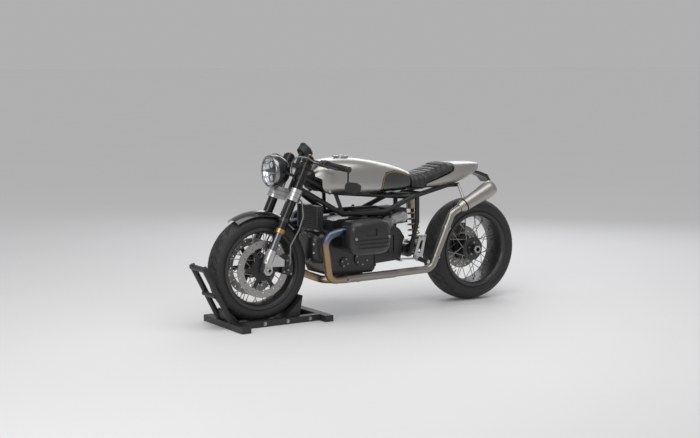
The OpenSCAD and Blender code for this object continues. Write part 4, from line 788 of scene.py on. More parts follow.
def standing(point, along, side=X_AXIS):
    """A frame at a point whose Z axis runs along a direction."""
    up = Vector(along).normalized()
    if abs(up.dot(side)) > SAME_WAY:
        side = Z_AXIS
    across = up.cross(side).normalized()
    return Matrix.Translation(point) @ Matrix((across.cross(up), across, up)).transposed().to_4x4()


def ring_of(count, centre, radius, first, second, start=0.0):
    """Points on a circle spanned by two directions."""
    turns = [start + math.tau * k / count for k in range(count)]
    return [centre + first * radius * math.cos(a) + second * radius * math.sin(a) for a in turns]


# Shapes that several pieces share

# A face whose normal is nearer to Z than this counts as the top
TOP_FACING = 0.9
# How deep a screw is set into its surface, as a share of its radius
SUNK_SHARE = 0.08
# A cap screw's edge, and the wall and depth of its socket, for a head of radius 1
HEAD_EDGE = 0.14
SOCKET_WALL = 0.32
SOCKET_DEEP = 0.5
# A bolt's washer and six-sided head, for a bolt of radius 1
WASHER_R = 1.3
WASHER_TALL = 0.16
HEX_R = 1.05
HEX_TALL = 0.7
HEX_EDGE = 0.12


def drawn_line(points, closed=False):
    """One vertex extruded from point to point; the object is left in edit mode."""
    free_hands()
    bpy.ops.mesh.primitive_plane_add(size=0.01, location=(0, 0, 0))
    obj = bpy.context.object
    bpy.ops.object.mode_set(mode="EDIT")
    bpy.ops.mesh.select_mode(type="VERT")
    bpy.ops.mesh.select_all(action="SELECT")
    bpy.ops.mesh.merge(type="CENTER")
    bpy.ops.transform.translate(value=points[0])
    path = points + points[:1] if closed else points
    for a, b in zip(path, path[1:]):
        bpy.ops.mesh.extrude_vertices_move(TRANSFORM_OT_translate={"value": Vector(b) - Vector(a)})
    return obj


def close_up(obj):
    """Merges doubles, turns all faces outwards and goes back to object mode."""
    bpy.ops.mesh.select_all(action="SELECT")
    bpy.ops.mesh.remove_doubles(threshold=DRAWN_WELD)
    bpy.ops.mesh.normals_make_consistent(inside=False)
    bpy.ops.object.mode_set(mode="OBJECT")
    return obj


def turned(profile, sides, closed=False, angle=40):
    """A line of (radius, height) spun round Z and shaded smooth up to an angle."""
    obj = drawn_line([Vector((r, 0, h)) for r, h in profile], closed)
    bpy.ops.mesh.select_all(action="SELECT")
    bpy.ops.mesh.spin(steps=sides, angle=math.tau, center=(0, 0, 0), axis=(0, 0, 1))
    close_up(obj)
    smooth(obj, angle)
    return obj


def placed(obj, where, name, look, body, slot):
    """Puts a finished model into a frame and settles it there."""
    obj.matrix_world = where
    return settle(obj, name, finish(look), body, slot)


def select_faces(obj, test):
    """Selects, in edit mode, the faces whose centre and normal pass a test."""
    pick(obj)
    bpy.ops.object.mode_set(mode="EDIT")
    bpy.ops.mesh.select_mode(type="FACE")
    bpy.ops.mesh.select_all(action="DESELECT")
    bpy.ops.object.mode_set(mode="OBJECT")
    for face in obj.data.polygons:
        face.select = test(face.center, face.normal)
    bpy.ops.object.mode_set(mode="EDIT")


def facing_up(centre, normal):
    return normal.z > TOP_FACING


def block(size, centre, bevel, segments):
    """A box with rounded edges."""
    free_hands()
    bpy.ops.mesh.primitive_cube_add(size=1, location=centre)
    obj = bpy.context.object
    obj.scale = size
    hold(obj)
    modify(obj, "BEVEL", width=bevel, segments=segments)
    return obj


def sunk_face(obj, margin, wall, depth):
    """Sinks the top of a block within a margin."""
    select_faces(obj, facing_up)
    bpy.ops.mesh.inset(thickness=margin)
    bpy.ops.mesh.inset(thickness=wall, depth=-depth)
    bpy.ops.object.mode_set(mode="OBJECT")
    smooth(obj, degrees=35)


def socket_screw():
    """A cap screw of radius 1 that stands on Z = 0, with a socket in its head."""
    free_hands()
    bpy.ops.mesh.primitive_cylinder_add(vertices=12, radius=1, depth=1.0, location=(0, 0, 0.5))
    obj = bpy.context.object
    hold(obj)
    select_faces(obj, facing_up)
    bpy.ops.mesh.bevel(offset=HEAD_EDGE, segments=2)
    select_faces(obj, lambda c, n: n.z > SAME_WAY)
    bpy.ops.mesh.inset(thickness=SOCKET_WALL)
    bpy.ops.mesh.extrude_region_move(TRANSFORM_OT_translate={"value": (0, 0, -SOCKET_DEEP)})
    bpy.ops.object.mode_set(mode="OBJECT")
    smooth(obj, degrees=35)
    return obj


def hex_bolt():
    """A six-sided bolt head of radius 1 on its washer, standing on Z = 0."""
    free_hands()
    bpy.ops.mesh.primitive_cylinder_add(
        vertices=24, radius=WASHER_R, depth=WASHER_TALL, location=(0, 0, WASHER_TALL / 2))
    washer = bpy.context.object
    bpy.ops.mesh.primitive_cylinder_add(
        vertices=6, radius=HEX_R, depth=HEX_TALL, location=(0, 0, WASHER_TALL + HEX_TALL / 2))
    head = bpy.context.object
    select_faces(head, facing_up)
    bpy.ops.mesh.bevel(offset=HEX_EDGE, segments=2)
    bpy.ops.object.mode_set(mode="OBJECT")
    pick(head, washer)
    bpy.ops.object.join()
    bpy.ops.object.transform_apply(location=True)
    return head


def scatter(model, places, name, look, body, slot):
    """Copies of one model, each with its own mesh, put at (frame, size) places and joined."""
    copies = []
    for where, size in places:
        copy = bpy.data.objects.new(name, model.data.copy())
        bpy.context.scene.collection.objects.link(copy)
        copy.matrix_world = where @ Matrix.Scale(size, 4)
        copies.append(copy)
    for copy in copies:
        hold(copy)
    pick(*copies)
    if len(copies) > 1:
        bpy.ops.object.join()
    bpy.data.objects.remove(model)
    return settle(copies[0], name, finish(look), body, slot)


def seats(node, lines, size):
    """Frames for screws where straight lines meet a node."""
    found = []
    for start, way in lines:
        point, normal = landing(node, start, way)
        found.append((standing(point - normal * size * SUNK_SHARE, normal), size))
    return found


class RacerSizes(bpy.types.PropertyGroup):
    tread_depth: bpy.props.FloatProperty(
        name="Tread depth", description="Depth of the tyres' grooves", default=0.003, unit="LENGTH")
    tread_slant: bpy.props.FloatProperty(
        name="Tread slant", description="How far a groove turns from the crown to the shoulder",
        default=math.radians(20), subtype="ANGLE")
    seat_ribs: bpy.props.IntProperty(
        name="Seat ribs", description="Number of sewn rolls along the seat", default=10)
    rib_depth: bpy.props.FloatProperty(
        name="Rib depth", description="Depth of the seams between the rolls", default=0.008, unit="LENGTH")
    swell: bpy.props.FloatProperty(
        name="Swell", description="How far the seat's cover may swell", default=0.007, unit="LENGTH")
    screw: bpy.props.FloatProperty(
        name="Screw", description="Radius of a cover screw's head", default=0.0062, unit="LENGTH")
    bolt: bpy.props.FloatProperty(
        name="Bolt", description="Radius of a frame bolt's head", default=0.0085, unit="LENGTH")


# Tyres

RIM_SEAT = 0.2203
RIM_FLANGE = 0.0108
BEAD_INSET = 0.001
# Points above the rim's flange, as rise and step outwards
BEAD_ROUND = [(0.0012, 0.0016), (0.004, 0.0012)]
WALL_STEPS = 5
FAT_SHARE = 0.42
CROWN_POWER = 0.92
CROWN_STEPS = 28
TYRE_STEPS = 360
TREAD_WALL = 0.0005
# Where the tread starts, as shares of the tyre's radius and of its half width
TREAD_SHARE = 0.86
PLAIN_SHARE = 0.1
# Ends of the three kinds of groove, as shares of the tyre's half width
LONG_SHARE = 0.84
SHOULDER_SHARES = (0.5, 0.9)
SHORT_SHARES = (0.3, 0.52)
# Columns: node, half width between the beads, steps from groove to groove
TYRES = [("front_tyre", 0.051, 20), ("rear_tyre", 0.077, 24)]


def tyre_line(radius, half, foot):
    """The tyre's section from bead to bead, as (radius, across)."""
    wall_low = RIM_SEAT + RIM_FLANGE
    fat = RIM_SEAT + (radius - RIM_SEAT) * FAT_SHARE
    wall = [(RIM_SEAT, foot), (wall_low, foot)]
    wall += [(wall_low + rise, foot + out) for rise, out in BEAD_ROUND]
    for k in range(1, WALL_STEPS):
        rise = (fat - wall_low) * k / WALL_STEPS
        wall.append((wall_low + rise, foot + (half - foot) * math.sin(math.pi / 2 * k / WALL_STEPS)))
    crown = []
    for k in range(CROWN_STEPS + 1):
        a = math.pi * (k / CROWN_STEPS - 0.5)
        crown.append((fat + (radius - fat) * max(math.cos(a), 0) ** CROWN_POWER, half * math.sin(a)))
    return [(r, -y) for r, y in wall] + crown + wall[::-1]


def grooved_tyre(node, foot, pitch, sizes):
    """A tyre with slanted grooves pressed into its crown, in the place of its plain solid."""
    low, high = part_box(node)
    radius = (high.x - low.x) / 2
    half = (high.y - low.y) / 2
    obj = turned(tyre_line(radius, half, foot), TYRE_STEPS, closed=True)
    for v in obj.data.vertices:
        turn = sizes.tread_slant * min(abs(v.co.z) / half, 1.0)
        c, s = math.cos(turn), math.sin(turn)
        v.co.x, v.co.y = v.co.x * c - v.co.y * s, v.co.x * s + v.co.y * c
    step = math.tau / TYRE_STEPS

    def grooved(centre, normal):
        share = abs(centre.z) / half
        if math.hypot(centre.x, centre.y) < radius * TREAD_SHARE or share < PLAIN_SHARE:
            return False
        turn = math.atan2(centre.y, centre.x) - sizes.tread_slant * share
        k = int(round(turn / step - 0.5)) + (0 if centre.z > 0 else pitch // 2)
        if k % pitch in (0, 1):
            return share < LONG_SHARE
        if k % pitch == pitch // 2 + 1:
            return SHOULDER_SHARES[0] < share < SHOULDER_SHARES[1]
        return k % pitch == pitch // 4 and SHORT_SHARES[0] < share < SHORT_SHARES[1]

    select_faces(obj, grooved)
    bpy.ops.mesh.inset(thickness=TREAD_WALL, depth=-sizes.tread_depth)
    bpy.ops.object.mode_set(mode="OBJECT")
    smooth(obj, degrees=38)
    placed(obj, standing(middle(node), Y_AXIS), node + "_treaded", node + "_rubber", body_of(node),
           "tyre_rubber")
    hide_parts(node)


class RACER_OT_tyres(bpy.types.Operator):
    """Road tyres with grooves in their crowns"""
    bl_idname = "racer.tyres"
    bl_label = "Tyres"

    def execute(self, context):
        for node, bead_half, pitch in TYRES:
            grooved_tyre(node, bead_half - BEAD_INSET, pitch, context.scene.racer_sizes)
        return {"FINISHED"}


# Seat

SEAT_VOXEL = 0.005
SEAT_SHRINK = 0.0035
CLOTH_FRAMES = 20
CLOTH_PRESSURE = 4.0
# Where the seams set in and where they have their full depth: along the seat for the rolls that
# wrap round its sides and for its rear end, by the facing of its top, and across its half width
WRAP_SHARES = (0.62, 0.7)
END_SHARES = (0.1, 0.15)
TOP_SHARES = (0.25, 0.6)
EDGE_SHARES = (0.86, 0.76)
UNDERSIDE = -0.5
ROLL_POWER = 0.45


def eased(value, start, full):
    """How far a value has come from a start to a full reach, from 0 to 1."""
    return min(max((value - start) / (full - start), 0.0), 1.0)


class RACER_OT_seat(bpy.types.Operator):
    """Padded seat with sewn rolls that wrap down its sides at the front"""
    bl_idname = "racer.seat"
    bl_label = "Seat"

    def execute(self, context):
        sizes = context.scene.racer_sizes
        obj = merged_copy("seat")
        obj.data.remesh_voxel_size = SEAT_VOXEL
        bpy.ops.object.voxel_remesh()
        bpy.ops.object.mode_set(mode="EDIT")
        bpy.ops.mesh.select_all(action="SELECT")
        bpy.ops.mesh.vertices_smooth(factor=0.5, repeat=4)
        bpy.ops.transform.shrink_fatten(value=-SEAT_SHRINK)
        bpy.ops.object.mode_set(mode="OBJECT")
        self.swell(context, obj, sizes.swell)
        modify(obj, "SUBSURF", levels=1, render_levels=1)
        self.sew(obj, sizes)
        pick(obj)
        bpy.ops.object.shade_smooth()
        settle(obj, "seat_cover", finish("seat_leather"), body_of("seat"), "seat_leather")
        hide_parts("seat")
        return {"FINISHED"}

    def swell(self, context, obj, most):
        """Blows the cover up a little as cloth and caps how far each point has moved."""
        rest = [v.co.copy() for v in obj.data.vertices]
        cloth = obj.modifiers.new("cover", "CLOTH")
        cloth.settings.use_pressure = True
        cloth.settings.uniform_pressure_force = CLOTH_PRESSURE
        cloth.settings.effector_weights.gravity = 0.0
        for number in range(1, CLOTH_FRAMES + 1):
            context.scene.frame_set(number)
        pick(obj)
        bpy.ops.object.modifier_apply(modifier=cloth.name)
        context.scene.frame_set(1)
        for v, start in zip(obj.data.vertices, rest):
            move = v.co - start
            if move.length > most:
                v.co = start + move * (most / move.length)

    def sew(self, obj, sizes):
        """Presses the seams between the rolls into the cover."""
        low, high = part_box("seat")
        pitch = (high.x - low.x) / sizes.seat_ribs
        half = (high.y - low.y) / 2
        normals = [v.normal.copy() for v in obj.data.vertices]
        for v, normal in zip(obj.data.vertices, normals):
            along = (v.co.x - low.x) / (high.x - low.x)
            roll = abs(math.sin(math.pi * (high.x - v.co.x) / pitch))
            wrap = eased(along, *WRAP_SHARES) * (1 if normal.z > UNDERSIDE else 0)
            top = eased(normal.z, *TOP_SHARES) * eased(abs(v.co.y) / half, *EDGE_SHARES)
            reach = max(top, wrap) * eased(along, *END_SHARES)
            v.co -= normal * sizes.rib_depth * reach * (1 - roll ** ROLL_POWER)


# Headlight. Profiles are (radius, height); those named rim count the radius from the lamp's edge

RING_RIM = [
    (-0.0135, 0.004), (-0.004, 0), (0, 0.001), (0, 0.012), (-0.0012, 0.0165), (-0.004, 0.0205),
    (-0.0075, 0.022), (-0.0105, 0.0212), (-0.0125, 0.0185)]
BOWL_FRONT_RIM = [
    (-0.0125, 0.0125), (-0.0165, 0.009), (-0.022, -0.002), (-0.034, -0.0135), (-0.052, -0.022)]
BOWL_EYE = [(0.02, -0.027), (0.012, -0.028), (0.012, -0.0295), (0.024, -0.0285)]
BOWL_BACK_RIM = [(-0.05, -0.0235), (-0.03, -0.0155), (-0.018, -0.003), (-0.0155, 0.004)]
# Radius as a share of the lamp's, and height
GLASS_FRONT_SHARES = [(0, 0.0294), (0.3, 0.0284), (0.55, 0.0236), (0.75, 0.0188)]
GLASS_EDGE_RIM = [(-0.0122, 0.0154), (-0.0122, 0.0134)]
GLASS_BACK_SHARES = [(0.75, 0.0166), (0.55, 0.0213), (0.3, 0.026), (0, 0.027)]
BAR_WIDE = 0.017
BAR_THICK = 0.012
BAR_DEEP = 0.006
BAR_INSET = 0.021
CHAMBER_SHARE = 0.4
CUP = [
    (0.021, 0.006), (0.0235, 0.006), (0.0235, -0.02), (0.013, -0.0225), (0.013, -0.0215), (0.0195, -0.016)]
BULB_LENS = [
    (0, 0.0105), (0.008, 0.0092), (0.0145, 0.0062), (0.0185, 0.0012), (0.0195, -0.003), (0, -0.003)]
GUIDE_RIM = [(-0.0215, -0.0015), (-0.0175, 0.0035), (-0.0215, 0.0055), (-0.0255, 0.0015)]
GUIDE_STEPS = 40
GUIDE_START = math.radians(16)
GUIDE_SPAN = math.radians(148)


def from_edge(points, edge):
    """Profile points whose radius is counted from an edge."""
    return [(edge + r, h) for r, h in points]


class RACER_OT_lamp(bpy.types.Operator):
    """Headlight ring, reflector, bulb bar, chambers and glass"""
    bl_idname = "racer.lamp"
    bl_label = "Headlight"

    def execute(self, context):
        low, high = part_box("headlight_lens")
        out = (high.z - low.z) / 2
        facing = standing(Vector((low.x, 0, (low.z + high.z) / 2)), X_AXIS, Z_AXIS)
        ring = turned(from_edge(RING_RIM, out), sides=72, closed=True)
        placed(ring, facing, "headlight_ring", "lamp_chrome", "steering", "alloy_silver")
        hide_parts("headlight_lens")
        profile = from_edge(BOWL_FRONT_RIM, out) + BOWL_EYE + from_edge(BOWL_BACK_RIM, out)
        bowl = turned(profile, sides=96, closed=True, angle=30)
        placed(bowl, facing, "headlight_bowl", "lamp_mirror", "steering", "alloy_silver")
        profile = [(out * share, h) for share, h in GLASS_FRONT_SHARES] + from_edge(GLASS_EDGE_RIM, out)
        profile += [(out * share, h) for share, h in GLASS_BACK_SHARES]
        glass = turned(profile, sides=72, angle=60)
        placed(glass, facing, "headlight_glass", "lamp_glass", "steering", "lamp_glass")
        self.bulb_bar(facing, out)
        self.chambers(facing, out)
        return {"FINISHED"}

    def bulb_bar(self, facing, out):
        """A dark bar across the reflector, with a sunk face."""
        size = (BAR_WIDE, (out - BAR_INSET) * 2, BAR_THICK)
        bar = block(size, (0, 0, -BAR_DEEP), bevel=0.003, segments=3)
        sunk_face(bar, margin=0.002, wall=0.0008, depth=0.0015)
        placed(bar, facing, "headlight_bar", "lamp_shield", "steering", "fork_black")

    def chambers(self, facing, out):
        """Cups, lenses and half-ring light guides above and below the bar."""
        chambers, guides = [], []
        for side in (-1, 1):
            chambers.append((facing @ Matrix.Translation((side * out * CHAMBER_SHARE, 0, 0)), 1.0))
            guides.append((facing @ Matrix.Rotation(0 if side > 0 else math.pi, 4, "Z"), 1.0))
        cup = turned(CUP, sides=48, closed=True, angle=35)
        scatter(cup, chambers, "headlight_cups", "lamp_shield", "steering", "fork_black")
        lens = turned(BULB_LENS, sides=48, angle=50)
        scatter(lens, chambers, "headlight_lenses", "lamp_bulb", "steering", "lamp_glass")
        guide = drawn_line([Vector((0, r, h)) for r, h in from_edge(GUIDE_RIM, out)], closed=True)
        bpy.ops.mesh.select_all(action="SELECT")
        bpy.ops.transform.rotate(value=GUIDE_START, orient_axis="Z", center_override=(0, 0, 0))
        bpy.ops.mesh.spin(steps=GUIDE_STEPS, angle=GUIDE_SPAN, center=(0, 0, 0), axis=(0, 0, 1))
        close_up(guide)
        smooth(guide, degrees=40)
        scatter(guide, guides, "headlight_guides", "lamp_bulb", "steering", "lamp_glass")


# Gauge

GAUGE_TILT = math.radians(32)
GAUGE_OUT = 0.008
GAUGE_UP = 0.690
GAUGE_DEPTH = 0.042
BEZEL = [
    (0.0395, 0.0002), (0.0472, 0.0002), (0.0472, 0.002), (0.0455, 0.0045), (0.0425, 0.0052),
    (0.0402, 0.0035)]
DIAL = [(0, 0.0002), (0.0396, 0.0002), (0.0396, 0.0009), (0.03, 0.0012), (0, 0.0012)]
DIAL_GLASS = [
    (0, 0.0048), (0.02, 0.0046), (0.0403, 0.0038), (0.0403, 0.0028), (0.02, 0.0036), (0, 0.0038)]
TICKS = 41
LONG_EVERY = 5
TICK_SWEEP = math.radians(250)
TICK_OUT = 0.0365
# Length and width of the marks
LONG_TICK = (0.006, 0.0009)
SHORT_TICK = (0.0032, 0.0005)
# Turn, radius of its middle, length and width
POINTER = (-0.9, 0.012, 0.036, 0.0011)
MARK_LIFT = 0.0016
MARK_THICK = 0.0008
MARK_EDGE = 0.0001


class RACER_OT_gauge(bpy.types.Operator):
    """Dial, ticks, pointer, bezel and glass of the gauge"""
    bl_idname = "racer.gauge"
    bl_label = "Gauge"

    def execute(self, context):
        facing = (Matrix.Rotation(-GAUGE_TILT, 3, "Y") @ STEER_UP).normalized()
        face = fork_point(GAUGE_OUT, 0, GAUGE_UP) + facing * GAUGE_DEPTH
        where = standing(face, facing, Z_AXIS)
        bezel = turned(BEZEL, sides=64, closed=True)
        placed(bezel, where, "gauge_bezel", "lamp_chrome", "steering", "alloy_silver")
        dial = turned(DIAL, sides=64, angle=0)
        placed(dial, where, "gauge_dial", "dial_black", "steering", "plastic_black")
        self.marks(where)
        glass = turned(DIAL_GLASS, sides=48, angle=50)
        placed(glass, where, "gauge_glass", "lamp_glass", "steering", "lamp_glass")
        return {"FINISHED"}

    def marks(self, where):
        """Ticks round the dial and the pointer, as one piece."""
        marks = []
        for k in range(TICKS):
            long, wide = LONG_TICK if k % LONG_EVERY == 0 else SHORT_TICK
            marks.append((TICK_SWEEP * (k / (TICKS - 1) - 0.5), TICK_OUT - long / 2, long, wide))
        strokes = []
        for turn, radius, long, wide in marks + [POINTER]:
            free_hands()
            bpy.ops.mesh.primitive_cube_add(size=1, location=(0, 0, 0))
            stroke = bpy.context.object
            spot = Matrix.Rotation(turn, 4, "Z") @ Matrix.Translation((radius, 0, MARK_LIFT))
            stroke.matrix_world = where @ spot @ Matrix.Diagonal((long, wide, MARK_THICK, 1))
            hold(stroke)
            strokes.append(stroke)
        pick(*strokes)
        bpy.ops.object.join()
        modify(strokes[0], "BEVEL", width=MARK_EDGE, segments=1)
        settle(strokes[0], "gauge_marks", finish("dial_white"), "steering", "plastic_black")


# Handlebars, in the frame of each bar

GRIP_FROM = 0.143
GRIP_LEN = 0.122
GRIP_RIBS = 22
GRIP_BORE = 0.0116
GRIP_R = 0.0166
GROOVE_R = 0.0155
GRIP_FLANGE = [
    (GRIP_BORE, 0), (0.0205, 0), (0.0215, 0.001), (0.0215, 0.004), (0.0205, 0.005), (GRIP_R, 0.006)]
GRIP_TIP = [
    (GRIP_R, GRIP_LEN - 0.005), (GRIP_R, GRIP_LEN - 0.001), (0.0158, GRIP_LEN), (GRIP_BORE, GRIP_LEN)]
# Radius, and share of the way from rib to rib
RIB_SHARES = [(GRIP_R, 0), (GRIP_R, 0.55), (GROOVE_R, 0.65), (GROOVE_R, 0.9)]
RIB_FROM = 0.008
RIB_ROOM = GRIP_LEN - 0.014
PERCH_SPOTS = (0.1, 0.126)
PERCH_OUT = 0.0188
PERCH_SCREW_SHARE = 0.6
# Columns: colour, place along the bar, slot
BUTTONS = [("red", 0.106, "lamp_red"), ("grey", 0.12, "plastic_black")]
BUTTON_UP = 0.017
BUTTON_OUT = 0.0159
BUTTON_CAP = [(0, 0.004), (0.004, 0.004), (0.0055, 0.0025), (0.0055, -0.001), (0, -0.001)]
MIRROR_FROM = 0.36
MIRROR_FACING = -0.93
MIRROR_MARGIN = 0.003
MIRROR_THICK = 0.0012
FLAT_WITHIN = math.radians(2)


class RACER_OT_bars(bpy.types.Operator):
    """Ribbed grips, switch buttons, perch screws and mirror glasses"""
    bl_idname = "racer.bars"
    bl_label = "Handlebars"

    def execute(self, context):
        sizes = context.scene.racer_sizes
        grips, screws = [], []
        for side, hand in SIDES:
            bar = bar_frame(side)
            turn = bar.to_3x3()
            grips.append(self.grip(bar))
            for along in PERCH_SPOTS:
                spot = bar @ Vector((0, -side * PERCH_OUT, along))
                way = turn @ Vector((0, -side, 0))
                screws.append((standing(spot, way), sizes.screw * PERCH_SCREW_SHARE))
            for colour, along, slot in BUTTONS:
                spot = bar @ Vector((-BUTTON_UP, side * BUTTON_OUT, along))
                where = standing(spot, turn @ Vector((-1, 0, 0)))
                name = "button_" + colour + "_" + hand
                placed(turned(BUTTON_CAP, sides=24), where, name, "button_" + colour, "steering", slot)
        pick(*grips)
        bpy.ops.object.join()
        smooth(grips[0], degrees=40)
        settle(grips[0], "grips_ribbed", finish("grip_rubber"), "steering", "grip_rubber")
        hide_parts("grips")
        scatter(socket_screw(), screws, "perch_screws", "screw_steel", "steering", "alloy_silver")
        self.mirror_glass()
        return {"FINISHED"}

    def grip(self, bar):
        """A rubber grip with a flange and ribs."""
        pitch = RIB_ROOM / GRIP_RIBS
        profile = list(GRIP_FLANGE)
        for k in range(GRIP_RIBS):
            profile += [(r, RIB_FROM + pitch * (k + share)) for r, share in RIB_SHARES]
        obj = turned(profile + GRIP_TIP, sides=40, closed=True)
        obj.matrix_world = bar @ Matrix.Translation((0, 0, GRIP_FROM))
        hold(obj)
        return obj

    def mirror_glass(self):
        """The flat rear face of each mirror head, drawn in a little and given a thickness."""
        obj = merged_copy("bar_end_mirrors")
        select_faces(obj, lambda c, n: n.x < MIRROR_FACING and abs(c.y) > MIRROR_FROM)
        self.keep_selected()
        bpy.ops.mesh.dissolve_limited(angle_limit=FLAT_WITHIN)
        bpy.ops.mesh.select_all(action="SELECT")
        bpy.ops.mesh.inset(thickness=MIRROR_MARGIN, depth=0.0)
        self.keep_selected()
        bpy.ops.mesh.extrude_region_shrink_fatten(TRANSFORM_OT_shrink_fatten={"value": MIRROR_THICK})
        close_up(obj)
        settle(obj, "mirror_glass", finish("lamp_mirror"), "steering", "alloy_silver")

    def keep_selected(self):
        """Deletes all faces but the selected ones, and selects those again."""
        bpy.ops.mesh.select_all(action="INVERT")
        bpy.ops.mesh.delete(type="FACE")
        bpy.ops.mesh.select_all(action="SELECT")


# Clamp bands of pipes and intakes

BAND_GAP = 0.0002
BAND_EDGE = 0.0016
BAND_THICK = 0.0022
BAND_FLAT_SHARE = 0.3
EAR_OUT = 0.006
EAR_LONG = 0.013
EAR_WIDE = 0.0105
EAR_SHARE = 0.8
EAR_SCREW_AT = (0.007, 0.005)
EAR_SCREW_R = 0.0045


def band(start, end, share, radius, width, name, slot):
    """A clamp band round a straight run of pipe, with its ears and screw."""
    start, end = Vector(start), Vector(end)
    edge, flat = width / 2, width * BAND_FLAT_SHARE
    ring = turned(from_edge([
        (BAND_GAP, -edge), (BAND_EDGE, -edge), (BAND_THICK, -flat), (BAND_THICK, flat), (BAND_EDGE, edge),
        (BAND_GAP, edge)], radius), sides=48, closed=True)
    size = (EAR_LONG, EAR_WIDE, width * EAR_SHARE)
    ear = block(size, (radius + EAR_OUT, 0, 0), bevel=0.0018, segments=2)
    screw = socket_screw()
    spot = Vector((radius + EAR_SCREW_AT[0], EAR_SCREW_AT[1], 0))
    screw.matrix_world = standing(spot, Y_AXIS) @ Matrix.Scale(EAR_SCREW_R, 4)
    hold(screw)
    pick(ring, ear, screw)
    bpy.ops.object.join()
    smooth(ring, degrees=35)
    where = standing(start.lerp(end, share), end - start, Y_AXIS)
    placed(ring, where, name, "screw_steel", "chassis", slot)


# Engine

COVER_BOSS = 0.1088
# Columns: centre along and up, radius of the ring of screws, count
SIDE_COVERS = [((0.103, 0.337), 0.037, 6), ((0.218, 0.321), 0.021, 4)]
SIDE_COVER_TURN = 0.4
SIDE_SCREW_SHARE = 0.8
NOSE_SCREWS = 10
NOSE_SHARE = 0.82
DRIVE_SCREWS = 8
DRIVE_RING = 0.074
DRIVE_TURN = 0.2
# Columns: side, hand, bend behind the head, throttle
INTAKE_RUNS = [
    (1, "left", (0.0476, 0.262, 0.520), (-0.064, 0.172, 0.548)),
    (-1, "right", (0.0136, -0.262, 0.520), (-0.0822, -0.172, 0.548))]
INTAKE_R = 0.028
CLAMP_W = 0.011
CLAMP_SHARES = [("front", 0.14), ("rear", 0.54)]
THROTTLE_SHARE = 0.76
THROTTLE_SEAT = 0.0325
INJECTOR_LEAN = 0.5
SPINDLE_BOSS = [
    (0, 0), (0.0125, 0), (0.0125, 0.005), (0.0075, 0.0065), (0.0075, 0.012), (0.006, 0.0135), (0, 0.0135)]
INJECTOR = [
    (0, 0), (0.008, 0), (0.008, 0.01), (0.0062, 0.012), (0.0062, 0.024), (0.009, 0.026), (0.009, 0.034),
    (0.0055, 0.037), (0, 0.037)]


class RACER_OT_engine(bpy.types.Operator):
    """Screws of the engine's covers and of the final drive, and the throttle bodies' trim"""
    bl_idname = "racer.engine"
    bl_label = "Engine trim"

    def execute(self, context):
        sizes = context.scene.racer_sizes
        covers, cases, nose = [], [], []
        for side in (-1, 1):
            inwards = (0, -side, 0)
            low, high = side_box("valve_covers", side)
            mid = (low + high) / 2
            for end in (-COVER_BOSS, COVER_BOSS):
                covers.append(((mid.x + end, side * FAR, mid.z), inwards))
            for centre, radius, count in SIDE_COVERS:
                spot = Vector((centre[0], side * FAR, centre[1]))
                for point in ring_of(count, spot, radius, X_AXIS, Z_AXIS, SIDE_COVER_TURN):
                    cases.append((point, inwards))
        low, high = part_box("engine_front_cover")
        half = (high - low) / 2 * NOSE_SHARE
        for k in range(NOSE_SCREWS):
            a = math.tau * (k + 0.5) / NOSE_SCREWS
            up = (low.z + high.z) / 2 + half.z * math.sin(a)
            nose.append(((FAR, half.y * math.cos(a), up), (-1, 0, 0)))
        ring = ring_of(DRIVE_SCREWS, REAR_AXLE - Y_AXIS * FAR, DRIVE_RING, X_AXIS, Z_AXIS, DRIVE_TURN)
        places = seats("valve_covers", covers, sizes.bolt)
        places += seats("engine_block", cases, sizes.screw * SIDE_SCREW_SHARE)
        places += seats("engine_front_cover", nose, sizes.screw)
        places += seats("final_drive", [(point, Y_AXIS) for point in ring], sizes.screw)
        scatter(socket_screw(), places, "engine_screws", "screw_steel", "chassis", "alloy_silver")
        for side, hand, start, end in INTAKE_RUNS:
            self.throttle(side, hand, Vector(start), Vector(end))
        return {"FINISHED"}

    def throttle(self, side, hand, start, end):
        """Clamps of one intake, with the spindle boss and the injector of its throttle body."""
        for place, share in CLAMP_SHARES:
            name = "intake_clamp_" + place + "_" + hand
            band(start, end, share, INTAKE_R, CLAMP_W, name, "alloy_silver")
        axis = (end - start).normalized()
        centre = start.lerp(end, THROTTLE_SHARE)
        out = Y_AXIS * side
        out = (out - axis * out.dot(axis)).normalized()
        up = (Z_AXIS - axis * Z_AXIS.dot(axis)).normalized()
        lean = (up + out * INJECTOR_LEAN).normalized()
        where = standing(centre + out * THROTTLE_SEAT, out)
        spindle = turned(SPINDLE_BOSS, sides=24)
        placed(spindle, where, "throttle_spindle_" + hand, "screw_steel", "chassis", "alloy_silver")
        where = standing(centre + lean * THROTTLE_SEAT, lean)
        injector = turned(INJECTOR, sides=24)
        placed(injector, where, "injector_" + hand, "dial_black", "chassis", "plastic_black")


# Wheels

SPOKES = 18
# How many spokes further on a spoke meets the rim, and how far across it, as a share of its width
CROSSING = 2
RIM_SPREAD_SHARE = 0.1
RIM_WALL = 0.1952
VALVE_TURN = math.radians(-60)
# Columns: end, axle, radius of the hub's flange, its distance from the middle, width of the rim
WHEELS = [("front", FRONT_AXLE, 0.0532, 0.040, 0.102), ("rear", REAR_AXLE, 0.066, 0.044, 0.154)]
NIPPLE = [(0, 0), (0.0036, 0), (0.0036, 0.007), (0.0027, 0.013), (0, 0.013)]
VALVE_STEM = [
    (0, 0.036), (0.0028, 0.036), (0.0042, 0.034), (0.0042, 0.023), (0.003, 0.022), (0.003, 0.006),
    (0.006, 0.004), (0.006, 0), (0, 0)]
DISC_FACE = 0.0685
DISC_BUTTONS = 6
BUTTON_RING = 0.121
DISC_BUTTON = [(0.0035, 0.0013), (0.0065, 0.0013), (0.008, 0.0004), (0.008, -0.0006), (0.0035, -0.0006)]
HUB_BOLTS = 5
HUB_RING = 0.038
HUB_TURN = 0.3
HUB_BOLT_SHARE = 0.9
NUT_TALL = 0.0075
NUT_EDGE = 0.0015
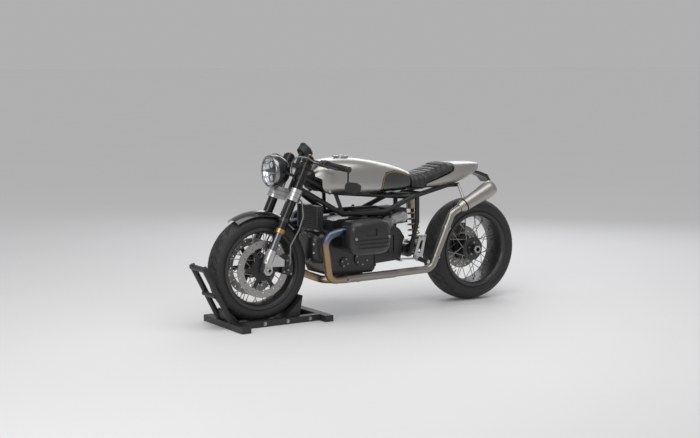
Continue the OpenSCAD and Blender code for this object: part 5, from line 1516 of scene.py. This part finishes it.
# Columns: name, axle, place across, way, body, bore, outer radius
AXLE_NUTS = [
    ("axle_nut_left", FRONT_AXLE, 0.1363, Y_AXIS, "steering", 0.0092, 0.0165),
    ("axle_nut_right", FRONT_AXLE, 0.1363, -Y_AXIS, "steering", 0.0092, 0.0165),
    ("rear_axle_nut", REAR_AXLE, 0.092, Y_AXIS, "chassis", 0.0148, 0.027)]


class RACER_OT_wheels(bpy.types.Operator):
    """Spoke nipples, valve stems, axle nuts, disc buttons and hub bolts"""
    bl_idname = "racer.wheels"
    bl_label = "Wheel trim"

    def execute(self, context):
        sizes = context.scene.racer_sizes
        for wheel in WHEELS:
            self.nipples(*wheel)
        buttons = []
        for side in (-1, 1):
            centre = FRONT_AXLE + Y_AXIS * side * DISC_FACE
            for point in ring_of(DISC_BUTTONS, centre, BUTTON_RING, X_AXIS, Z_AXIS):
                buttons.append((standing(point, Y_AXIS * side), 1.0))
        button = turned(DISC_BUTTON, sides=16, closed=True)
        scatter(button, buttons, "disc_buttons", "screw_steel", "front_wheel", "alloy_silver")
        ring = ring_of(HUB_BOLTS, REAR_AXLE + Y_AXIS * FAR, HUB_RING, X_AXIS, Z_AXIS, HUB_TURN)
        places = seats("rear_wire_wheel", [(p, -Y_AXIS) for p in ring], sizes.screw * HUB_BOLT_SHARE)
        scatter(hex_bolt(), places, "hub_bolts", "screw_steel", "rear_wheel", "alloy_silver")
        for name, axle, across, way, body, bore, out in AXLE_NUTS:
            profile = [
                (bore, 0), (out, 0), (out, NUT_TALL - NUT_EDGE), (out - NUT_EDGE, NUT_TALL),
                (bore, NUT_TALL)]
            nut = turned(profile, sides=6, closed=True, angle=0)
            placed(nut, standing(axle + way * across, way), name, "screw_steel", body, "alloy_silver")
        return {"FINISHED"}

    def nipples(self, end, axle, hub, hub_y, rim_w):
        """A nipple on each spoke's rim end, and the valve stem between two of them."""
        places = []
        for side in (-1, 1):
            for k in range(SPOKES):
                a = math.tau * (k + (0.5 if side < 0 else 0)) / SPOKES
                b = a + (CROSSING if k % 2 == 0 else -CROSSING) * math.tau / SPOKES
                start = Vector((hub * math.cos(a), side * hub_y, hub * math.sin(a)))
                out = Vector((math.cos(b), 0, math.sin(b))) * RIM_WALL
                out += Y_AXIS * side * rim_w * RIM_SPREAD_SHARE
                places.append((standing(axle + out, start - out), 1.0))
        body = end + "_wheel"
        scatter(turned(NIPPLE, sides=8), places, end + "_nipples", "screw_steel", body, "alloy_silver")
        turn = math.tau / SPOKES / 4 + VALVE_TURN
        out = Vector((math.cos(turn), 0, math.sin(turn)))
        where = standing(axle + out * RIM_WALL, -out)
        stem = turned(VALVE_STEM, sides=16)
        placed(stem, where, end + "_valve_stem", "screw_steel", body, "alloy_silver")


# Fork, in its own frame

FORK_TOP = 0.6768
CLAMP_SCREWS_UP = (0.425, 0.461)
CLAMP_SCREW_SHARE = 0.75
BEHIND_CLAMP = -0.2
FOOT_SCREWS_UP = (-0.012, 0.012)
BEHIND_FOOT = -0.3
# Turn in degrees round the axle, and distance from it
CALIPER_SCREWS = [(158, 0.123), (190, 0.123), (156, 0.168), (192, 0.168), (163, 0.144), (185, 0.144)]
CALIPER_SCREW_SHARE = 0.9
FORK_CAP = [(0, 0.006), (0.0175, 0.006), (0.0205, 0.004), (0.0215, 0.0015), (0.0215, -0.001), (0, -0.001)]
KNOB_LIFT = 0.0052
KNOB_R = 0.009


class RACER_OT_fork(bpy.types.Operator):
    """Fork caps and adjusters, and the screws of the clamp, feet and calipers"""
    bl_idname = "racer.fork"
    bl_label = "Fork trim"

    def execute(self, context):
        sizes = context.scene.racer_sizes
        clamps, feet, calipers, caps, knobs = [], [], [], [], []
        for side in (-1, 1):
            leg = side * LEG_HALF
            for up in CLAMP_SCREWS_UP:
                clamps.append((fork_point(BEHIND_CLAMP, leg, up), STEER_OUT))
            for up in FOOT_SCREWS_UP:
                feet.append((FRONT_AXLE + Vector((BEHIND_FOOT, leg, up)), X_AXIS))
            for turn, radius in CALIPER_SCREWS:
                a = math.radians(turn)
                spot = Vector((radius * math.cos(a), side * FAR, radius * math.sin(a)))
                calipers.append((FRONT_AXLE + spot, (0, -side, 0)))
            caps.append((standing(fork_point(LEG_LEAD, leg, FORK_TOP), STEER_UP), 1.0))
            knobs.append((standing(fork_point(LEG_LEAD, leg, FORK_TOP + KNOB_LIFT), STEER_UP), KNOB_R))
        places = seats("lower_clamp", clamps, sizes.bolt * CLAMP_SCREW_SHARE)
        places += seats("fork_feet", feet, sizes.screw)
        places += seats("front_calipers", calipers, sizes.screw * CALIPER_SCREW_SHARE)
        scatter(socket_screw(), places, "fork_screws", "screw_steel", "steering", "alloy_silver")
        scatter(turned(FORK_CAP, sides=48), caps, "fork_caps", "fork_black", "steering", "fork_black")
        scatter(hex_bolt(), knobs, "fork_adjusters", "collar_gold", "steering", "collar_gold")
        return {"FINISHED"}


# Exhaust

PIPE_R = 0.022
CROSS_PIPE_R = PIPE_R * 0.97
LOW_RUN = ((0.362, 0.205, 0.238), (-0.133, 0.150, 0.232))
RISER = ((-0.371, 0.166, 0.240), (-0.511, 0.176, 0.562))
CROSS_RUN = ((0.227, 0.122, 0.220), (-0.133, 0.128, 0.224))
# Columns: name, run, share of the run, pipe's radius, width
BANDS = [
    ("band_front", LOW_RUN, 0.24, PIPE_R, 0.016), ("band_riser", RISER, 0.22, PIPE_R, 0.016),
    ("band_inlet", RISER, 0.74, PIPE_R, 0.02), ("band_cross", CROSS_RUN, 0.3, CROSS_PIPE_R, 0.016)]
MUFFLER_START = Vector((-0.5669, 0.176, 0.5881))
MUFFLER_END = Vector((-0.8135, 0.176, 0.7031))
MUFFLER_R = 0.049
MUFFLER_LONG = (MUFFLER_END - MUFFLER_START).length
# The cone's radius as a share at its thin end, and where along the muffler it starts and how long it is
THIN_SHARE = 0.78
CONE_FROM_SHARE = 0.12
CONE_LONG_SHARE = 0.8
LAP_SHARES = (0.13, 0.165)
LAP_SUNK = 0.001
LAP_LIFTS = (0.0013, 0.0014)
# Radius, and height past the muffler's end
ROLL = [
    (0.0262, 0), (0.0272, 0.0022), (0.031, 0.0034), (0.041, 0.0026), (0.0436, 0.0005), (0.0436, -0.0004),
    (0.0262, -0.0004)]
CORE_BORE = 0.0236
CORE_R = 0.0256
CORE_SUNK = 0.008
CORE_SHARE = 0.63
RIVETS = 12
RIVET_SHARES = (0.21, 0.87)
RIVET_R = 0.0026
RIVET_SUNK = 0.0006
RIVET_HEAD = [(0, 0.55), (0.45, 0.48), (0.85, 0.25), (1, 0), (0, 0)]
# Corners of the plate that joins the muffler's strut to the end of the frame's rail
PLATE_LOW = Vector((-0.646, 0.0655, 0.707))
PLATE_HIGH = Vector((-0.562, 0.0713, 0.731))


def muffler_skin(share):
    """The muffler's radius at a share of its length."""
    return MUFFLER_R * (THIN_SHARE + (1 - THIN_SHARE) * (share - CONE_FROM_SHARE) / CONE_LONG_SHARE)


class RACER_OT_exhaust(bpy.types.Operator):
    """Clamp bands of the pipes, and the muffler's band, rolled end, core, rivets and plate"""
    bl_idname = "racer.exhaust"
    bl_label = "Exhaust trim"

    def execute(self, context):
        for name, run, share, radius, width in BANDS:
            band(*run, share, radius, width, name, "exhaust_steel")
        where = standing(MUFFLER_START, MUFFLER_END - MUFFLER_START, Y_AXIS)
        front, back = LAP_SHARES
        lap = turned([
            (muffler_skin(front) - LAP_SUNK, MUFFLER_LONG * front),
            (muffler_skin(front) + LAP_LIFTS[0], MUFFLER_LONG * front),
            (muffler_skin(back) + LAP_LIFTS[1], MUFFLER_LONG * back),
            (muffler_skin(back) - LAP_SUNK, MUFFLER_LONG * back)], sides=64, closed=True, angle=180)
        modify(lap, "BEVEL", width=0.0006, segments=2)
        smooth(lap, degrees=40)
        placed(lap, where, "muffler_band", "frame_black", "chassis", "black_frame")
        roll = turned([(r, MUFFLER_LONG + h) for r, h in ROLL], sides=64, closed=True, angle=50)
        placed(roll, where, "muffler_roll", "screw_steel", "chassis", "exhaust_steel")
        mouth, foot = MUFFLER_LONG - CORE_SUNK, MUFFLER_LONG * CORE_SHARE
        profile = [(CORE_BORE, mouth), (CORE_R, mouth), (CORE_R, foot), (CORE_BORE, foot)]
        core = turned(profile, sides=48, closed=True)
        placed(core, where, "muffler_core", "frame_black", "chassis", "black_frame")
        plate = block(PLATE_HIGH - PLATE_LOW, (PLATE_LOW + PLATE_HIGH) / 2, bevel=0.0022, segments=3)
        smooth(plate, degrees=35)
        settle(plate, "muffler_plate", finish("frame_black"), "chassis", "black_frame")
        self.rivets(where.to_3x3())
        return {"FINISHED"}

    def rivets(self, turn):
        """A ring of rivets at each end of the muffler's cone."""
        places = []
        for share in RIVET_SHARES:
            spot = MUFFLER_START.lerp(MUFFLER_END, share)
            for out in ring_of(RIVETS, Vector(), 1, turn @ X_AXIS, turn @ Y_AXIS):
                places.append((standing(spot + out * (muffler_skin(share) - RIVET_SUNK), out), RIVET_R))
        head = turned(RIVET_HEAD, sides=12, angle=60)
        scatter(head, places, "muffler_rivets", "screw_steel", "chassis", "exhaust_steel")


# Tank

TANK_FRONT = 0.379
TANK_LEN = 0.640
TANK_LOW = 0.696
TANK_TALL = 0.214
TANK_BOLT_AT = (0.302, 0.724)
TANK_BOLT_SHARE = 1.7
TANK_BUSH = [
    (0, 0.3), (0.35, 0.3), (0.42, 0.62), (0.62, 0.66), (0.72, 0.3), (0.95, 0.26), (1.0, 0.1), (1.0, -0.3),
    (0, -0.3)]
CAP_R = 0.040
CAP_SCREWS = 6
CAP_RING = 0.0315
CAP_TURN = 0.52
CAP_SCREW_R = 0.0034
ABOVE_CAP = 1.2
LOCK = [
    (0, 0.0022), (0.0028, 0.0022), (0.0028, 0.0034), (0.0135, 0.0034), (0.0165, 0.0022), (0.0175, -0.0004),
    (0, -0.0004)]
LOCK_SUNK = 0.0009
STRIPE_STEPS = 8
STRIPE_WIDE = 0.0024
STRIPE_LIFT = 0.0004
STRIPE_THICK = 0.0005
# Points of the line, as shares of the tank's length and height
STRIPE_SHARES = [
    (0.632, 0.06), (0.634, 0.1), (0.658, 0.4), (0.697, 0.555), (0.8, 0.592), (0.9, 0.535), (0.975, 0.455)]


def flowing(spots, steps):
    """Points on a smooth curve through given spots."""
    points = []
    for k in range(len(spots) - 1):
        before, a, b = spots[max(k - 1, 0)], spots[k], spots[k + 1]
        after = spots[min(k + 2, len(spots) - 1)]
        for j in range(steps):
            t = j / steps
            points.append(0.5 * (
                2 * a + (b - before) * t + (2 * before - 5 * a + 4 * b - after) * t ** 2
                + (3 * a - before - 3 * b + after) * t ** 3))
    return points + spots[-1:]


class RACER_OT_tank(bpy.types.Operator):
    """Gold line on the knee panels, tank bolts and the filler cap's screws and lock"""
    bl_idname = "racer.tank"
    bl_label = "Tank trim"

    def execute(self, context):
        sizes = context.scene.racer_sizes
        for side, hand in SIDES:
            self.stripe(side, "knee_stripe_" + hand)
        lines = [((TANK_BOLT_AT[0], side * FAR, TANK_BOLT_AT[1]), (0, -side, 0)) for side in (-1, 1)]
        places = seats("fuel_tank", lines, sizes.bolt * TANK_BOLT_SHARE)
        bush = turned(TANK_BUSH, sides=40, angle=35)
        scatter(bush, places, "tank_bolts", "screw_steel", "chassis", "alloy_silver")
        low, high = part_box("filler_cap")
        above = Vector((low.x + CAP_R, 0, ABOVE_CAP))
        ring = ring_of(CAP_SCREWS, above, CAP_RING, X_AXIS, Y_AXIS, CAP_TURN)
        places = seats("filler_cap", [(p, -Z_AXIS) for p in ring], CAP_SCREW_R)
        scatter(socket_screw(), places, "filler_screws", "screw_steel", "filler_lid", "alloy_silver")
        where = Matrix.Translation((low.x + CAP_R, 0, high.z - LOCK_SUNK))
        placed(turned(LOCK, sides=48), where, "filler_lock", "screw_steel", "filler_lid", "alloy_silver")
        return {"FINISHED"}

    def stripe(self, side, name):
        """A thin painted line that follows the panel's front and top edge a little way in."""
        spots = [Vector((TANK_FRONT - TANK_LEN * a, 0, TANK_LOW + TANK_TALL * b)) for a, b in STRIPE_SHARES]
        points = flowing(spots, STRIPE_STEPS)
        rows = []
        for k, p in enumerate(points):
            way = points[min(k + 1, len(points) - 1)] - points[max(k - 1, 0)]
            square = way.normalized().cross(Y_AXIS)
            pair = []
            for shift in (-STRIPE_WIDE / 2, STRIPE_WIDE / 2):
                q = p + square * shift
                spot, normal = landing("knee_panels", (q.x, side * FAR, q.z), (0, -side, 0))
                pair.append(spot + normal * STRIPE_LIFT)
            rows.append(pair)
        obj = drawn_line([row[0] for row in rows])
        bpy.ops.mesh.select_all(action="SELECT")
        bpy.ops.mesh.extrude_edges_move()
        bpy.ops.object.mode_set(mode="OBJECT")
        count = len(rows)
        for v in obj.data.vertices[count:]:
            nearest = min(range(count), key=lambda k: (rows[k][0] - v.co).length)
            v.co = rows[nearest][1]
        modify(obj, "SOLIDIFY", thickness=STRIPE_THICK, offset=0.0)
        pick(obj)
        bpy.ops.object.mode_set(mode="EDIT")
        close_up(obj)
        settle(obj, name, finish("stripe_gold"), "chassis", "collar_gold")


# Tail lamp

# The lamp's own height as a share of its box, and the lens's ends as shares back and down
TAIL_TALL_SHARE = 1.004
LENS_TOP_SHARES = (0.78, 0.339)
LENS_FOOT_SHARES = (1, 0.899)
LENS_LONG_SHARE = 0.8
LENS_WIDE_SHARE = 0.86
LENS_THICK = 0.006


class RACER_OT_tail(bpy.types.Operator):
    """Red lens on the tail lamp's sloped rear face"""
    bl_idname = "racer.tail"
    bl_label = "Tail lamp lens"

    def execute(self, context):
        low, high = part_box("tail_light")
        long, tall = high.x - low.x, (high.z - low.z) / TAIL_TALL_SHARE
        top, foot = [
            Vector((high.x - back * long, 0, high.z - down * tall))
            for back, down in (LENS_TOP_SHARES, LENS_FOOT_SHARES)]
        size = ((foot - top).length * LENS_LONG_SHARE, (high.y - low.y) * LENS_WIDE_SHARE, LENS_THICK)
        lens = block(size, (0, 0, 0), bevel=0.0025, segments=4)
        sunk_face(lens, margin=0.003, wall=0.0008, depth=0.001)
        way = (foot - top).normalized()
        where = standing((top + foot) / 2, way.cross(Y_AXIS), way)
        placed(lens, where, "tail_lens", "lens_red", "chassis", "lamp_red")
        return {"FINISHED"}


# Footrests and chock

PEG_FOOT = (-0.2535, 0.184, 0.3146)
PEG_TIP = (-0.2645, 0.284, 0.3036)
PEG_R = 0.011
PEG_GAP = 0.0002
PEG_RIBS = 8
# Height over the peg, and share of the way from rib to rib
PEG_RIB_SHARES = [(0.003, 0.05), (0.003, 0.6), (0.0015, 0.7), (0.0015, 0.95)]
SLEEVE_FROM_SHARE = 0.22
SLEEVE_LONG_SHARE = 0.74
HANGER_SPOTS = [(-0.261, 0.350), (-0.3115, 0.4385), (-0.284, 0.4385)]
CHOCK_SPOTS = [0.44, 0.585, 0.73]
CHOCK_BOLT_UP = 0.018
BESIDE_CHOCK = 0.5


class RACER_OT_rests(bpy.types.Operator):
    """Ribbed footrest rubbers, hanger bolts and the chock's bolts"""
    bl_idname = "racer.rests"
    bl_label = "Footrests and chock"

    def execute(self, context):
        sizes = context.scene.racer_sizes
        hangers, rails = [], []
        for side, hand in SIDES:
            self.sleeve(side, hand)
            hangers += [((x, side * FAR, z), (0, -side, 0)) for x, z in HANGER_SPOTS]
            rails += [((x, side * BESIDE_CHOCK, CHOCK_BOLT_UP), (0, -side, 0)) for x in CHOCK_SPOTS]
        places = seats("footrests", hangers, sizes.screw)
        scatter(socket_screw(), places, "hanger_screws", "screw_steel", "chassis", "alloy_silver")
        places = seats("wheel_chock", rails, sizes.bolt)
        scatter(hex_bolt(), places, "chock_bolts", "screw_steel", "steering", "alloy_silver")
        return {"FINISHED"}

    def sleeve(self, side, hand):
        """The ribbed rubber on one footrest."""
        start = Vector((PEG_FOOT[0], side * PEG_FOOT[1], PEG_FOOT[2]))
        end = Vector((PEG_TIP[0], side * PEG_TIP[1], PEG_TIP[2]))
        long = (end - start).length * SLEEVE_LONG_SHARE
        pitch = long / PEG_RIBS
        profile = [(PEG_R + PEG_GAP, 0)]
        for k in range(PEG_RIBS):
            profile += [(PEG_R + rise, pitch * (k + share)) for rise, share in PEG_RIB_SHARES]
        profile.append((PEG_R + PEG_GAP, long))
        where = standing(start.lerp(end, SLEEVE_FROM_SHARE), end - start)
        sleeve = turned(profile, sides=32, closed=True)
        placed(sleeve, where, "peg_rubber_" + hand, "grip_rubber", "chassis", "grip_rubber")


OPERATORS = [
    RACER_OT_stage, RACER_OT_finishes, RACER_OT_tyres, RACER_OT_seat, RACER_OT_lamp, RACER_OT_gauge,
    RACER_OT_bars, RACER_OT_engine, RACER_OT_wheels, RACER_OT_fork, RACER_OT_exhaust, RACER_OT_tank,
    RACER_OT_tail, RACER_OT_rests]


class RACER_PT_sidebar(bpy.types.Panel):
    """Steps of the dressing, in order"""
    bl_idname = "RACER_PT_sidebar"
    bl_label = "Cafe racer"
    bl_space_type = "VIEW_3D"
    bl_region_type = "UI"
    bl_category = "Racer"

    def draw(self, context):
        column = self.layout.column()
        for operator in OPERATORS:
            column.operator(operator.bl_idname)
        groups = ((context.scene.racer_sizes, RacerSizes), (context.scene.racer_light, RacerLight))
        for group, kind in groups:
            for key in kind.__annotations__:
                column.prop(group, key)


CLASSES = [RacerSizes, RacerLight, *OPERATORS, RACER_PT_sidebar]


def register():
    for cls in CLASSES:
        bpy.utils.register_class(cls)
    bpy.types.Scene.racer_sizes = bpy.props.PointerProperty(type=RacerSizes)
    bpy.types.Scene.racer_light = bpy.props.PointerProperty(type=RacerLight)


def unregister():
    del bpy.types.Scene.racer_light
    del bpy.types.Scene.racer_sizes
    for cls in reversed(CLASSES):
        bpy.utils.unregister_class(cls)


def main():
    register()
    bpy.ops.racer.stage()
    bpy.ops.racer.finishes()
    bpy.ops.racer.tyres()
    bpy.ops.racer.seat()
    bpy.ops.racer.lamp()
    bpy.ops.racer.gauge()
    bpy.ops.racer.bars()
    bpy.ops.racer.engine()
    bpy.ops.racer.wheels()
    bpy.ops.racer.fork()
    bpy.ops.racer.exhaust()
    bpy.ops.racer.tank()
    bpy.ops.racer.tail()
    bpy.ops.racer.rests()


if __name__ == "__main__":
    main()
